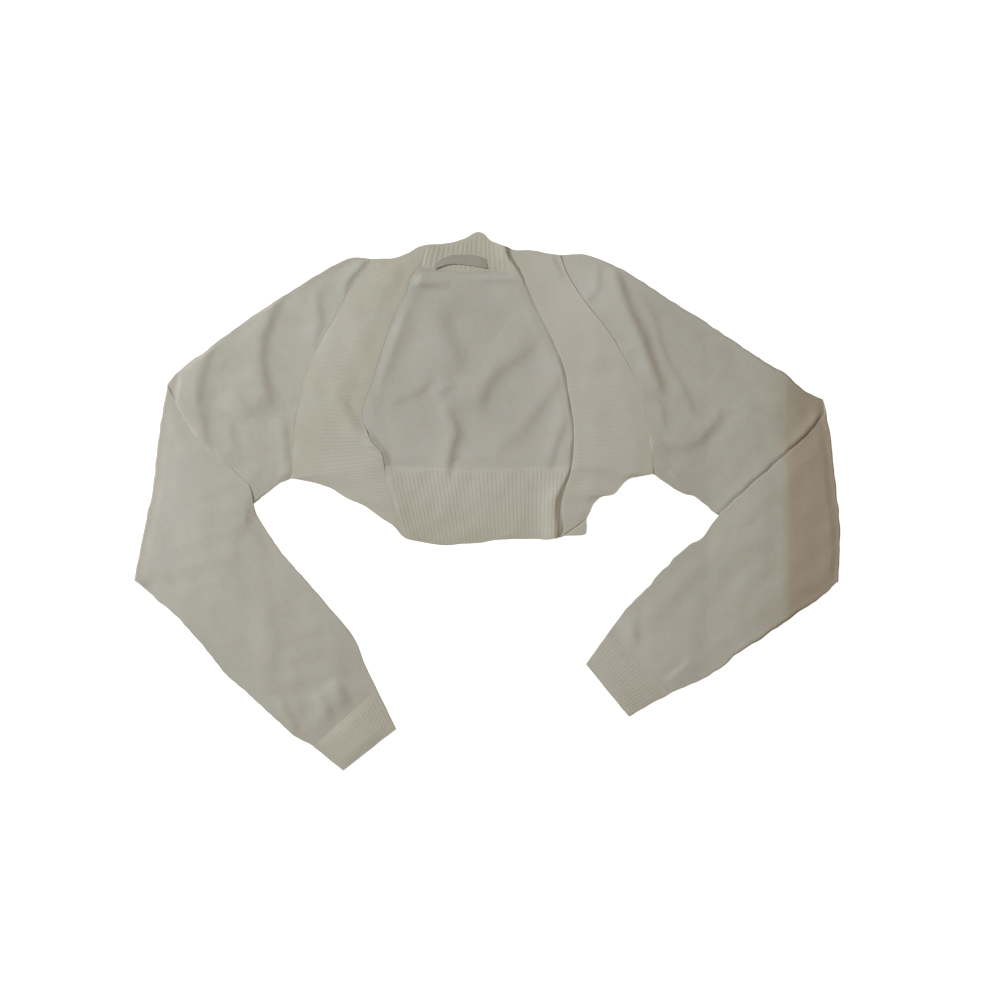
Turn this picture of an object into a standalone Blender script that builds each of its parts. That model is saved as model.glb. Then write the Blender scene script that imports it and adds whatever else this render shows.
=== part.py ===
"""Knitted shrug laid flat on its back: ribbed fronts, neck and hem, and long sleeves folded at the elbow.

Metres, +Z up, resting on z = 0, with the neck towards +Y. The plan sizes and heights below are in
millimetres and are turned into metres when a mesh is made.
"""

import math
from collections import namedtuple

import bpy
import numpy as np

METRES_PER_MM = 0.001

# Cloth
WALL = 1.6  # thickness of the knitted cloth
SEAM_GAP = 0.35  # sideways gap between pieces that are sewn edge to edge
ARMHOLE_OFFSET = (0.88, 0.37)  # how far out and up the sleeve's mouth is moved to clear the armhole
LAY_GAP = 0.3  # gap between a layer and the one that lies on it
LABEL_WALL = 1.0
RIB_RELIEF = 0.8  # how far a rib stands out of its wall
BAND_RIB_PITCH = 4.4
HEM_RIB_PITCH = 5.0
NECK_RIB_PITCH = 5.4
CUFF_RIB_PITCH = 5.0

# Sleeve tube
HOLLOW_AT_SEAM = 0.6  # free height inside the flat tube beside the armhole seam
HOLLOW_FLAT = 0.6  # where something lies on the sleeve
HOLLOW_LOFT = 2.2  # where the cloth lies loose
MOST_HOLLOW = 3.8
LEAST_HOLLOW = 0.4
EDGE_INSETS = (0.6, 2.1)  # where a flat tube's rounded side edge is half turned, and fully turned
EDGE_TURN = 0.7  # share of the half thickness at the first of them
ELBOW_INNER_RADIUS = 1.0
ELBOW_OUTER_RADIUS = ELBOW_INNER_RADIUS + 2 * WALL + HOLLOW_FLAT
ELBOW_ANGLES = (30, 60, 90, 120, 150)
ARM_HEIGHT = 2 * WALL + HOLLOW_FLAT + LAY_GAP  # underside of what lies on the upper arm
DRAPE_START = 18.0  # past the upper arm's edge, where the forearm starts down to the floor
DRAPE_RUN = 34.0
COVER_EASE = 24.0  # how far from the forearm lying on it the upper arm starts to loft
COVER_RUN = 26.0

# Outlines, as (x, y) points that a smooth curve goes through
SHOULDER_LEFT = ((-66.4, 269.7), (-76, 267), (-86, 261), (-100, 256), (-123, 255))
SHOULDER_RIGHT = ((22, 266), (28, 264), (44, 264), (60, 261), (74, 259))
ARMHOLE_LEFT = (
    (-123, 255), (-147, 223), (-167, 187), (-183, 159), (-195, 131), (-201, 105), (-206, 75), (-209, 24),
)
ARMHOLE_RIGHT = (
    (74, 259), (82, 238), (100, 210), (123, 181), (140, 154), (155, 124), (163, 94), (170, 57), (172, 29),
)
SIDE_LEFT = ((-209, 24), (-190, 21), (-167, 14), (-151, 4), (-131, -5), (-113, -18), (-102, -25), (-92, -36))
SIDE_RIGHT = ((172, 29), (156, 26), (143, 21), (131, 8), (118, 5), (110, -2), (106, -10), (102, -18))
SIDE_CUT = 0.06  # share of the side at the underarm that the hem rib leaves to the sleeve seam
HEM_CORNER_RIGHT = ((102, -18), (102, -30), (99, -35), (80, -36))
HEM_BOTTOM = (
    (-88, -39), (-70, -43), (-48, -46), (-29, -44), (-10, -43), (7, -39), (43, -39), (62, -40), (80, -36),
)
HEM_SEAM = ((-209, 24), (-167, 33), (-109, 36), (-15, 34), (79, 36), (137, 35), (172, 29))
HEM_SEAM_ENDS = (0.03, 0.975)  # shares of the hem seam between which the hem rib hangs from it
NECK_TOP = ((-65.8, 270), (-42, 272), (-26, 277), (-15, 283), (-7, 282), (2, 274), (20, 267), (29, 263))
NECK_SEAM = ((-71.6, 246), (-58, 243), (-45, 242), (-20, 241), (11, 242), (34, 242))
NECK_RIB_END = 0.99  # share of the neck seam where the trim stops short of the right shoulder
BACK_SHOULDER_LEFT = ((-123, 255), (-100, 256), (-86, 261), (-74, 267))
BACK_SHOULDER_RIGHT = ((35, 262), (46, 264), (60, 261), (74, 259))
BAND_EDGE_LEFT = (
    (-71.6, 249), (-83, 235), (-88, 218), (-97, 202), (-112, 162), (-124, 123), (-133, 98), (-132, 84),
    (-124, 63), (-113, 50), (-108, 21), (-98, -11), (-96, -27), (-88, -38.6),
)
BAND_EDGE_RIGHT = (
    (22, 266), (25, 256), (34, 241), (46, 211), (66, 171), (79, 139), (83, 115), (88, 87), (89, 65),
    (86, 34), (78, 7), (76, -8), (78, -35),
)
LABEL_TOP = ((-56, 251), (-45, 257), (-30, 259), (-15, 258), (-1, 254))
LABEL_BOTTOM = ((-58, 244), (-45, 250), (-34, 251), (-20, 249), (-2, 245))

# Sleeves: the edges run from the armhole to the elbow fold, and from the fold to the cuff
Sleeve = namedtuple(
    "Sleeve",
    "name side armhole overarm underarm elbow elbow_slip fore_inner fore_outer cuff_start cuff_end",
)
SLEEVES = (
    Sleeve(
        name="left",
        side=-1,
        armhole=ARMHOLE_LEFT,
        overarm=(
            (-123, 255), (-143, 254), (-163, 246), (-207, 221), (-255, 191), (-294, 162), (-326, 137),
            (-335, 122),
        ),
        underarm=((-209, 24), (-220, 19), (-238, 6), (-246, -1), (-285, -25), (-318, -45), (-367, -77)),
        elbow=((-335, 122), (-344, 65), (-349, 18), (-356, -14), (-367, -77)),
        elbow_slip=0.02,
        fore_inner=(
            (-335, 118), (-306, 70), (-275, 39), (-251, 15), (-246, -10), (-222, -49), (-195, -80),
            (-166, -114), (-143, -142), (-131, -171), (-119, -196),
        ),
        fore_outer=(
            (-366, -76), (-356, -95), (-325, -125), (-293, -162), (-276, -183), (-253, -203), (-224, -230),
            (-204, -247), (-186, -257),
        ),
        cuff_start=((-119, -196), (-186, -257)),
        cuff_end=((-98, -239), (-154, -283)),
    ),
    Sleeve(
        name="right",
        side=1,
        armhole=ARMHOLE_RIGHT,
        overarm=(
            (74, 259), (89, 260), (107, 256), (145, 239), (196, 207), (233, 185), (285, 149), (311, 134),
            (329, 118), (349, 105),
        ),
        underarm=((172, 29), (186, 18), (200, 10), (215, 5), (228, -4), (239, -14), (284, -40), (363, -84)),
        elbow=((349, 105), (356, 60), (360, 20), (365, -30), (363, -84)),
        elbow_slip=0.08,
        fore_inner=(
            (351, 90), (328, 65), (285, 27), (241, -14), (223, -38), (206, -48), (182, -72), (164, -92),
            (146, -110), (125, -137),
        ),
        fore_outer=(
            (363, -83), (348, -101), (325, -116), (287, -143), (263, -158), (243, -175), (223, -187),
            (191, -201),
        ),
        cuff_start=((125, -137), (191, -201)),
        cuff_end=((101, -171), (146, -226)),
    ),
)

# Where a rib of a front band starts and ends: lengths along its free edge and along its outer edge
Rung = namedtuple("Rung", "free_edge outer_edge")
RUNGS_LEFT = tuple(Rung(*row) for row in (
    (0, 0), (36, 73), (74, 122), (138, 199), (185, 256), (232, 313), (248, 338), (266, 367), (282, 397),
    (298, 431), (312, 448),
))
RUNGS_RIGHT = tuple(Rung(*row) for row in (
    (0, 0), (28, 52), (60, 82), (105, 128), (139, 174), (192, 239), (245, 304), (273, 356), (296, 388),
    (316, 398),
))

# How far a band's free edge stands clear of the cloth under it
Lift = namedtuple("Lift", "free_edge height")
LIFTS_LEFT = tuple(Lift(*row) for row in (
    (0, 0.0), (60, 0.6), (140, 0.8), (175, 2.0), (200, 3.6), (222, 3.0), (240, 0.9), (300, 0.7), (312, 0.5),
))
LIFTS_RIGHT = tuple(Lift(*row) for row in (
    (0, 1.3), (60, 1.6), (120, 2.6), (150, 1.6), (205, 1.8), (235, 3.4), (252, 1.4), (285, 2.8), (316, 2.6),
))
NECK_LIFT_RUN = 14.0
LIFT_RUN = 13.0  # how far in from the free edge the lift dies away

# Creases: a ridge has a height above 0 and a trough one below 0. bend pushes the middle sideways,
# to the left of the way from start to end.
Crease = namedtuple("Crease", "x0 y0 x1 y1 bend half_width height")
BACK_CREASES = tuple(Crease(*row) for row in (
    (54, 170, -14, 104, -6, 11, -1.5),
    (58, 150, 4, 92, -5, 12, 1.9),
    (20, 178, -34, 120, -4, 13, 1.2),
    (-36, 98, -41, 40, 5, 7, -1.6),
    (-50, 96, -54, 42, 3, 9, 1.4),
    (-26, 92, -30, 44, 4, 9, 1.2),
    (-60, 126, -106, 96, 5, 9, -1.1),
    (-64, 142, -100, 118, 3, 9, 1.2),
    (74, 128, 32, 72, -3, 8, -1.1),
    (80, 108, 50, 64, -3, 8, 1.2),
    (-84, 212, -106, 126, -4, 9, 1.1),
    (-78, 224, -30, 214, -3, 8, -0.9),
    (-55, 186, -55, 150, 3, 8, -0.9),
))
BACK_LOFT = 1.0  # the loose back panel's usual height off the floor between the bands
BACK_EASE_START = 6.0  # how far in from a band's free edge it starts to rise
BACK_EASE = 14.0
ARM_CREASES = {
    "left": tuple(Crease(*row) for row in (
        (-214, 216, -226, 112, -11, 9, -2.2),
        (-198, 210, -208, 118, -9, 10, 1.6),
        (-236, 196, -246, 120, -6, 11, 1.5),
        (-293, 160, -299, 72, -5, 8, -1.8),
        (-278, 168, -282, 84, -4, 10, 1.2),
        (-310, 140, -316, 100, -2, 7, 1.0),
        (-176, 222, -178, 176, -3, 8, -1.4),
        (-131, 250, -152, 212, -3, 5, -1.2),
        (-268, 118, -222, 70, -5, 15, -1.2),
        (-236, 60, -222, 30, 3, 10, 0.9),
    )),
    "right": tuple(Crease(*row) for row in (
        (134, 240, 184, 116, -4, 8, -2.2),
        (120, 236, 170, 122, -4, 9, 1.5),
        (160, 212, 214, 106, -4, 9, -1.4),
        (150, 226, 200, 110, -5, 8, 1.2),
        (106, 252, 107, 214, 2, 7, -1.0),
        (244, 92, 172, 54, -13, 9, -1.6),
        (252, 108, 186, 72, -12, 10, 1.3),
        (236, 172, 268, 110, 4, 14, 0.9),
    )),
}
FOREARM_CREASES = {
    "left": tuple(Crease(*row) for row in (
        (-216, -208, -204, -238, 0, 8, -1.1),
        (-160, -190, -144, -218, 0, 7, -1.1),
        (-228, -112, -224, -176, 4, 14, -1.0),
        (-186, -196, -170, -226, 0, 8, 1.0),
        (-318, 40, -334, -66, -6, 20, 1.0),
        (-262, -92, -250, -160, 4, 18, 0.9),
    )),
    "right": tuple(Crease(*row) for row in (
        (312, 36, 312, -112, 0, 20, 1.5),
        (180, -190, 204, -176, 2, 7, -1.2),
        (154, -132, 150, -158, 0, 7, -1.0),
        (262, -40, 226, -92, 4, 18, 0.8),
    )),
}
BAND_CREASES = {
    "left": tuple(Crease(*row) for row in (
        (-156, 112, -128, 62, 4, 12, 1.2),
        (-206, 40, -150, 24, 3, 12, 0.8),
    )),
    "right": tuple(Crease(*row) for row in (
        (88, 46, 166, 42, 2, 9, 0.9),
        (96, 110, 110, 60, 2, 14, 0.7),
    )),
}

# Mesh steps
BACK_TOP_STEPS = (5, 1, 11, 1, 4)  # shoulder, neck end, neck seam, neck end, shoulder
BACK_ROWS = 16
HEM_HIDDEN_STEPS = (7, 1, 3, 6)  # left side, its corner, plain right corner, right side
HEM_ROW_SHARES = (0.0, 0.07, 0.5, 0.93, 1.0)
NECK_ROW_SHARES = (0.0, 0.1, 0.55, 0.92, 1.0)
BAND_ROW_SHARES = (0.0, 0.06, 0.2, 0.5, 1.0)
ARM_STEPS = 8
FOREARM_STEPS = 15
PLAN_STEPS_ACROSS = 56
ACROSS_SHARES = (0.1, 0.2, 0.3, 0.4, 0.5, 0.6, 0.7, 0.8, 0.9)
CUFF_STEPS = 3

KNIT_COLOUR = (0.62, 0.59, 0.50, 1.0)
LABEL_COLOUR = (0.55, 0.55, 0.57, 1.0)


def smoothstep(values):
    """0 below 0, 1 above 1 and an even S between."""
    held = np.clip(values, 0.0, 1.0)
    return held * held * (3.0 - 2.0 * held)


def dense_curve(points, steps_per_span=24):
    """A Catmull-Rom curve through the points, as many short straight steps."""
    knots = np.array(points, float)
    knots = np.vstack([2 * knots[0] - knots[1], knots, 2 * knots[-1] - knots[-2]])
    share = np.linspace(0.0, 1.0, steps_per_span, endpoint=False)[:, None]
    spans = []
    for before, start, end, after in zip(knots[:-3], knots[1:-2], knots[2:-1], knots[3:]):
        spans.append(0.5 * (
            2 * start
            + (end - before) * share
            + (2 * before - 5 * start + 4 * end - after) * share**2
            + (3 * start - before - 3 * end + after) * share**3
        ))
    return np.vstack(spans + [knots[-2:-1]])


def lengths_along(curve):
    return np.concatenate([[0.0], np.cumsum(np.hypot(*np.diff(curve, axis=0).T))])


def at_shares(curve, shares):
    """The curve's points at these shares of its length."""
    lengths = lengths_along(curve)
    wanted = np.asarray(shares) * lengths[-1]
    return np.column_stack([np.interp(wanted, lengths, curve[:, axis]) for axis in (0, 1)])


def smooth_line(points, steps, first=0.0, last=1.0):
    """Evenly spaced points along the smooth curve, between two shares of its length."""
    return at_shares(dense_curve(points), np.linspace(first, last, steps + 1))


def straight_line(start, end, steps):
    return np.linspace(start, end, steps + 1)


def chained(*lines):
    """Lines that follow each other, made one, with the corners between them kept."""
    return np.vstack([lines[0]] + [line[1:] for line in lines[1:]])


def patch(near, far, left, right):
    """A plan grid, rows from near to far and columns from left to right, that meets all four edges."""
    across = np.linspace(0.0, 1.0, len(near))[None, :, None]
    along = np.linspace(0.0, 1.0, len(left))[:, None, None]
    ruled = (1 - along) * near[None] + along * far[None]
    sides = (1 - across) * left[:, None] + across * right[:, None]
    near_corners = (1 - across) * near[0] + across * near[-1]
    far_corners = (1 - across) * far[0] + across * far[-1]
    return ruled + sides - (1 - along) * near_corners - along * far_corners


def crease_relief(plan, creases):
    """The height that the ridges and troughs add at each point of a plan grid."""
    relief = np.zeros(plan.shape[:-1])
    for crease in creases:
        start = np.array([crease.x0, crease.y0], float)
        run = np.array([crease.x1, crease.y1], float) - start
        length = math.hypot(*run)
        way = run / length
        offset = plan - start
        share = (offset @ way) / length
        bowed = crease.bend * 4 * share * (1 - share)
        across = offset @ np.array([-way[1], way[0]]) - np.where((share > 0) & (share < 1), bowed, 0.0)
        taper = smoothstep(share / 0.3 + 0.3) * smoothstep((1 - share) / 0.3 + 0.3)
        relief += crease.height * np.exp(-((across / crease.half_width) ** 2)) * taper
    return relief


def distance_past(plan, start, end, side):
    """How far each point lies past the line from start to end, on its left (side 1) or right (side -1)."""
    way = np.array(end, float) - np.array(start, float)
    way /= math.hypot(*way)
    return side * ((plan - np.array(start, float)) @ np.array([-way[1], way[0]]))


def knit_material(name, colour):
    material = bpy.data.materials.new(name)
    material.use_nodes = True
    shader = material.node_tree.nodes["Principled BSDF"]
    shader.inputs["Base Color"].default_value = colour
    shader.inputs["Roughness"].default_value = 0.92
    shader.inputs["Metallic"].default_value = 0.0
    return material


def solid(name, points, faces, collection, colour=KNIT_COLOUR):
    """An object from points in millimetres and the faces between them."""
    mesh = bpy.data.meshes.new(name)
    mesh.from_pydata((np.asarray(points) * METRES_PER_MM).tolist(), [], faces)
    mesh.validate()
    mesh.shade_smooth()
    mesh.materials.append(knit_material(name, colour))
    made = bpy.data.objects.new(name, mesh)
    collection.objects.link(made)
    return made


def quads_between(rows, columns, first=0, turned=False):
    """The faces of a grid of points that are numbered row by row from first."""
    faces = []
    for row in range(rows - 1):
        for column in range(columns - 1):
            corner = first + row * columns + column
            face = (corner, corner + 1, corner + columns + 1, corner + columns)
            faces.append(face[::-1] if turned else face)
    return faces


def panel(name, plan, underside, relief, collection, colour=KNIT_COLOUR):
    """A cloth wall over a plan grid: a plain underside, and a top that relief raises above the wall."""
    rows, columns = plan.shape[:2]
    count = rows * columns
    lower = np.dstack([plan, underside])
    upper = np.dstack([plan, underside + WALL + relief])
    points = np.vstack([lower.reshape(-1, 3), upper.reshape(-1, 3)])
    # A plan whose rows and columns turn clockwise has its faces the other way round.
    row_way = plan[1, 0] - plan[0, 0]
    column_way = plan[0, 1] - plan[0, 0]
    clockwise = column_way[0] * row_way[1] - column_way[1] * row_way[0] < 0
    faces = quads_between(rows, columns, turned=not clockwise)
    faces += quads_between(rows, columns, first=count, turned=clockwise)
    rim = [column for column in range(columns)]
    rim += [row * columns + columns - 1 for row in range(1, rows)]
    rim += [(rows - 1) * columns + column for column in range(columns - 2, -1, -1)]
    rim += [row * columns for row in range(rows - 2, 0, -1)]
    for this, following in zip(rim, rim[1:] + rim[:1]):
        face = (this, following, following + count, this + count)
        faces.append(face[::-1] if clockwise else face)
    return solid(name, points, faces, collection, colour)


def tube(name, outer, inner, collection):
    """An open-ended cloth tube from its outer and inner rings, joined round both mouths."""
    rings = np.concatenate([outer, inner[::-1]])
    count, around = rings.shape[:2]
    faces = []
    for ring in range(count):
        following_ring = (ring + 1) % count
        for step in range(around):
            following = (step + 1) % around
            face = (
                ring * around + step,
                ring * around + following,
                following_ring * around + following,
                following_ring * around + step,
            )
            # Starting an inner face one corner on splits it along the same diagonal as the outer face.
            faces.append(face if ring < len(outer) else face[1:] + face[:1])
    points = rings.reshape(-1, 3)
    corners = points[np.array(faces)[:, :3]]
    if np.linalg.det(corners).sum() < 0:
        faces = [face[::-1] for face in faces]
    return solid(name, points, faces, collection)


def rib_relief(steps):
    """Valley and crest by turns, starting and ending in a valley."""
    return np.where(np.arange(steps + 1) % 2 == 1, RIB_RELIEF, 0.0)


def edge_position(curve, y):
    """The x of a curve that runs down the part, at each height y on the plan."""
    order = np.argsort(curve[:, 1])
    return np.interp(y, curve[order, 1], curve[order, 0])


def back_panel(collection):
    top = chained(
        smooth_line(BACK_SHOULDER_LEFT, BACK_TOP_STEPS[0]),
        straight_line(BACK_SHOULDER_LEFT[-1], NECK_SEAM[0], BACK_TOP_STEPS[1]),
        smooth_line(NECK_SEAM, BACK_TOP_STEPS[2]),
        straight_line(NECK_SEAM[-1], BACK_SHOULDER_RIGHT[0], BACK_TOP_STEPS[3]),
        smooth_line(BACK_SHOULDER_RIGHT, BACK_TOP_STEPS[4]),
    )
    bottom = smooth_line(HEM_SEAM, sum(BACK_TOP_STEPS))
    left = smooth_line(ARMHOLE_LEFT, BACK_ROWS)
    right = smooth_line(ARMHOLE_RIGHT, BACK_ROWS)
    plan = patch(top, bottom, left, right)
    left_edge = edge_position(dense_curve(BAND_EDGE_LEFT), plan[..., 1])
    right_edge = edge_position(dense_curve(BAND_EDGE_RIGHT), plan[..., 1])
    shown = smoothstep((plan[..., 0] - left_edge - BACK_EASE_START) / BACK_EASE)
    shown = shown * smoothstep((right_edge - plan[..., 0] - BACK_EASE_START) / BACK_EASE)
    neck_y = edge_position(dense_curve(NECK_SEAM)[:, ::-1], plan[..., 0])
    hem_y = edge_position(dense_curve(HEM_SEAM)[:, ::-1], plan[..., 0])
    shown = shown * smoothstep((neck_y - plan[..., 1]) / BACK_EASE)
    shown = shown * smoothstep((plan[..., 1] - hem_y) / BACK_EASE)
    lift = shown * np.maximum(BACK_LOFT + crease_relief(plan, BACK_CREASES), 0.0)
    return panel("back_panel", plan, lift, np.zeros_like(lift), collection)


def hem_rib(collection):
    ribs = round(lengths_along(dense_curve(HEM_BOTTOM))[-1] / HEM_RIB_PITCH) + 2
    steps = 2 * ribs
    side_steps, turn_steps, corner_steps, right_steps = HEM_HIDDEN_STEPS
    left_steps = side_steps + turn_steps
    bottom = chained(
        smooth_line(SIDE_LEFT, side_steps, first=SIDE_CUT),
        straight_line(SIDE_LEFT[-1], HEM_BOTTOM[0], turn_steps),
        smooth_line(HEM_BOTTOM, steps),
        smooth_line(HEM_CORNER_RIGHT, corner_steps)[::-1],
        smooth_line(SIDE_RIGHT, right_steps, first=SIDE_CUT)[::-1],
    )
    seam = dense_curve(HEM_SEAM)
    seam_lengths = lengths_along(seam) / lengths_along(seam)[-1]
    # The ribs hang from the stretch of the seam that lies over the hem's bottom edge.
    shown_first = np.interp(BAND_EDGE_LEFT[-4][0], seam[:, 0], seam_lengths)
    shown_last = np.interp(BAND_EDGE_RIGHT[-4][0], seam[:, 0], seam_lengths)
    corner_last = np.interp(HEM_CORNER_RIGHT[0][0], seam[:, 0], seam_lengths)
    first, last = HEM_SEAM_ENDS
    top_shares = chained(
        np.linspace(first, shown_first, left_steps + 1)[:, None],
        np.linspace(shown_first, shown_last, steps + 1)[:, None],
        np.linspace(shown_last, corner_last, corner_steps + 1)[:, None],
        np.linspace(corner_last, last, right_steps + 1)[:, None],
    )[:, 0]
    top = at_shares(seam, top_shares) - np.array([0.0, 1.6 * SEAM_GAP])
    rows = np.array(HEM_ROW_SHARES)[:, None, None]
    plan = (1 - rows) * top[None] + rows * bottom[None]
    relief = np.zeros(plan.shape[:2])
    relief[1:-1, left_steps:left_steps + steps + 1] = rib_relief(steps)
    return panel("hem_rib", plan, np.zeros_like(relief), relief, collection)


def neck_lift(x):
    """The height of the neck trim's underside, which rises to the left band's end."""
    return (WALL + LAY_GAP) * (1 - smoothstep((x - NECK_TOP[0][0]) / NECK_LIFT_RUN))


def neck_rib(collection):
    steps = 2 * round(lengths_along(dense_curve(NECK_TOP))[-1] / NECK_RIB_PITCH)
    top = smooth_line(NECK_TOP, steps)
    bottom = smooth_line(NECK_SEAM, steps, last=NECK_RIB_END) + np.array([0.0, 1.6 * SEAM_GAP])
    rows = np.array(NECK_ROW_SHARES)[:, None, None]
    plan = (1 - rows) * top[None] + rows * bottom[None]
    relief = np.zeros(plan.shape[:2])
    relief[1:-1] = rib_relief(steps)
    return panel("neck_rib", plan, neck_lift(plan[..., 0]), relief, collection)


def label(collection):
    """The label lies on the neck trim's ribs, over the neck seam."""
    steps = 8
    top = smooth_line(LABEL_TOP, steps)
    bottom = smooth_line(LABEL_BOTTOM, steps)
    rows = np.array([0.0, 0.5, 1.0])[:, None, None]
    plan = (1 - rows) * top[None] + rows * bottom[None]
    underside = neck_lift(plan[..., 0]) + WALL + RIB_RELIEF + LAY_GAP
    thinner = np.full(plan.shape[:2], LABEL_WALL - WALL)
    return panel("label", plan, underside, thinner, collection, LABEL_COLOUR)


def front_band(name, free_edge, outer_edge, rungs, lifts, creases, collection):
    """A ribbed front that lies on the back: its ribs run from the free edge to the outer edge."""
    free = dense_curve(free_edge)
    outer = np.vstack([dense_curve(stretch) for stretch in outer_edge])
    free_length = lengths_along(free)[-1]
    steps = 2 * round(free_length / BAND_RIB_PITCH)
    shares = np.linspace(0.0, 1.0, steps + 1)
    stations = shares * rungs[-1].free_edge
    rung_starts = [rung.free_edge for rung in rungs]
    rung_ends = [rung.outer_edge for rung in rungs]
    outer_stations = np.interp(stations, rung_starts, rung_ends)
    free_points = at_shares(free, shares)
    outer_points = at_shares(outer, outer_stations / rungs[-1].outer_edge)
    rows = np.array(BAND_ROW_SHARES)[:, None, None]
    plan = (1 - rows) * free_points[None] + rows * outer_points[None]
    inwards = np.linalg.norm(plan - plan[:1], axis=-1)
    edge_lift = np.interp(stations, [lift.free_edge for lift in lifts], [lift.height for lift in lifts])
    underside = WALL + LAY_GAP + edge_lift * np.exp(-((inwards / LIFT_RUN) ** 2))
    eased = smoothstep(rows[..., 0] / 0.3) * smoothstep((1 - rows[..., 0]) / 0.3)
    underside = underside + eased * np.maximum(crease_relief(plan, creases), 0.0)
    relief = np.zeros(plan.shape[:2])
    relief[1:-1] = rib_relief(steps)
    return panel(name, plan, underside, relief, collection)


def across_shares(chord):
    """The shares of a chord at which a sleeve's ring has points, with its edges' turns."""
    first, second = (inset / chord for inset in EDGE_INSETS)
    return np.array((first, second) + ACROSS_SHARES + (1 - second, 1 - first))


def ring_depths(thickness):
    """For one ring, how deep each point lies from the lower face, on the outside and the inside.

    Each row is a point across the sleeve, from the overarm edge to the underarm edge.
    """
    turn = np.full(len(thickness), 1.0)
    turn[[0, -1]] = EDGE_TURN
    half = thickness / 2
    outer_low = half * (1 - turn)
    outer_high = half * (1 + turn)
    inner_low = half - (half - WALL) * turn
    inner_high = half + (half - WALL) * turn
    return outer_low, outer_high, inner_low, inner_high


def ring_points(line, depths, place):
    """The outer and inner ring across one line of the sleeve's plan.

    line maps a share across to a plan point, and place maps plan points and depths to space.
    """
    chord = math.dist(line(0.0)[0], line(1.0)[0])
    shares = across_shares(chord)
    outer_low, outer_high, inner_low, inner_high = depths
    edge_depth = ((outer_low[0] + outer_high[0]) / 2, (outer_low[-1] + outer_high[-1]) / 2)
    wall_share = WALL / chord
    inner_shares = shares.copy()
    inner_shares[0] += wall_share
    inner_shares[1] += 0.5 * wall_share
    inner_shares[-2] -= 0.5 * wall_share
    inner_shares[-1] -= wall_share
    rings = []
    for ends, across, low, high in (
        ((0.0, 1.0), shares, outer_low, outer_high),
        ((wall_share, 1 - wall_share), inner_shares, inner_low, inner_high),
    ):
        start = place(line(ends[0]), np.array([edge_depth[0]]))
        lower = place(line(across), low)
        end = place(line(ends[1]), np.array([edge_depth[1]]))
        upper = place(line(across[::-1]), high[::-1])
        rings.append(np.vstack([start, lower, end, upper]))
    return rings


def on_floor(plan, depth):
    return np.column_stack([plan, depth])


def line_across(row):
    """A function from shares across to points on one row of a plan grid."""
    lengths = lengths_along(row)

    def at(shares):
        return at_shares(row, np.atleast_1d(shares)) if lengths[-1] else row[:1]

    return at


def arm_thickness(sleeve, plan_points, share_along, creases):
    """The flat tube's thickness on the upper arm: close at the seam and where the forearm lies on it."""
    # The forearm's inner edge runs down from the elbow's top to where it leaves the upper arm.
    cover = distance_past(plan_points, sleeve.fore_inner[0], sleeve.fore_inner[3], sleeve.side)
    loose = smoothstep((-cover - COVER_EASE) / COVER_RUN) * smoothstep((share_along - 0.02) / 0.12)
    hollow = HOLLOW_LOFT + crease_relief(plan_points, creases)
    hollow = np.clip(hollow, LEAST_HOLLOW, MOST_HOLLOW)
    base = HOLLOW_AT_SEAM + (HOLLOW_FLAT - HOLLOW_AT_SEAM) * smoothstep(share_along / 0.2)
    return 2 * WALL + base + (hollow - base) * loose


def forearm_heights(sleeve, plan_points, share_along, creases):
    """The height of the forearm's underside and its thickness, on the upper arm and down to the floor."""
    past = distance_past(plan_points, sleeve.underarm[2], sleeve.underarm[-1], -sleeve.side)
    drape = 1 - smoothstep((past - DRAPE_START) / DRAPE_RUN)
    lower = ARM_HEIGHT * drape
    above_fold = ELBOW_OUTER_RADIUS + ELBOW_INNER_RADIUS
    near_fold = 1 - smoothstep(share_along / 0.08)
    lower = lower + (above_fold - lower) * near_fold
    loose = smoothstep(share_along / 0.14) * smoothstep((1 - share_along) / 0.12)
    hollow = np.clip(HOLLOW_LOFT + crease_relief(plan_points, creases), LEAST_HOLLOW, MOST_HOLLOW)
    thickness = 2 * WALL + HOLLOW_FLAT + (hollow - HOLLOW_FLAT) * loose
    return lower, thickness


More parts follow.
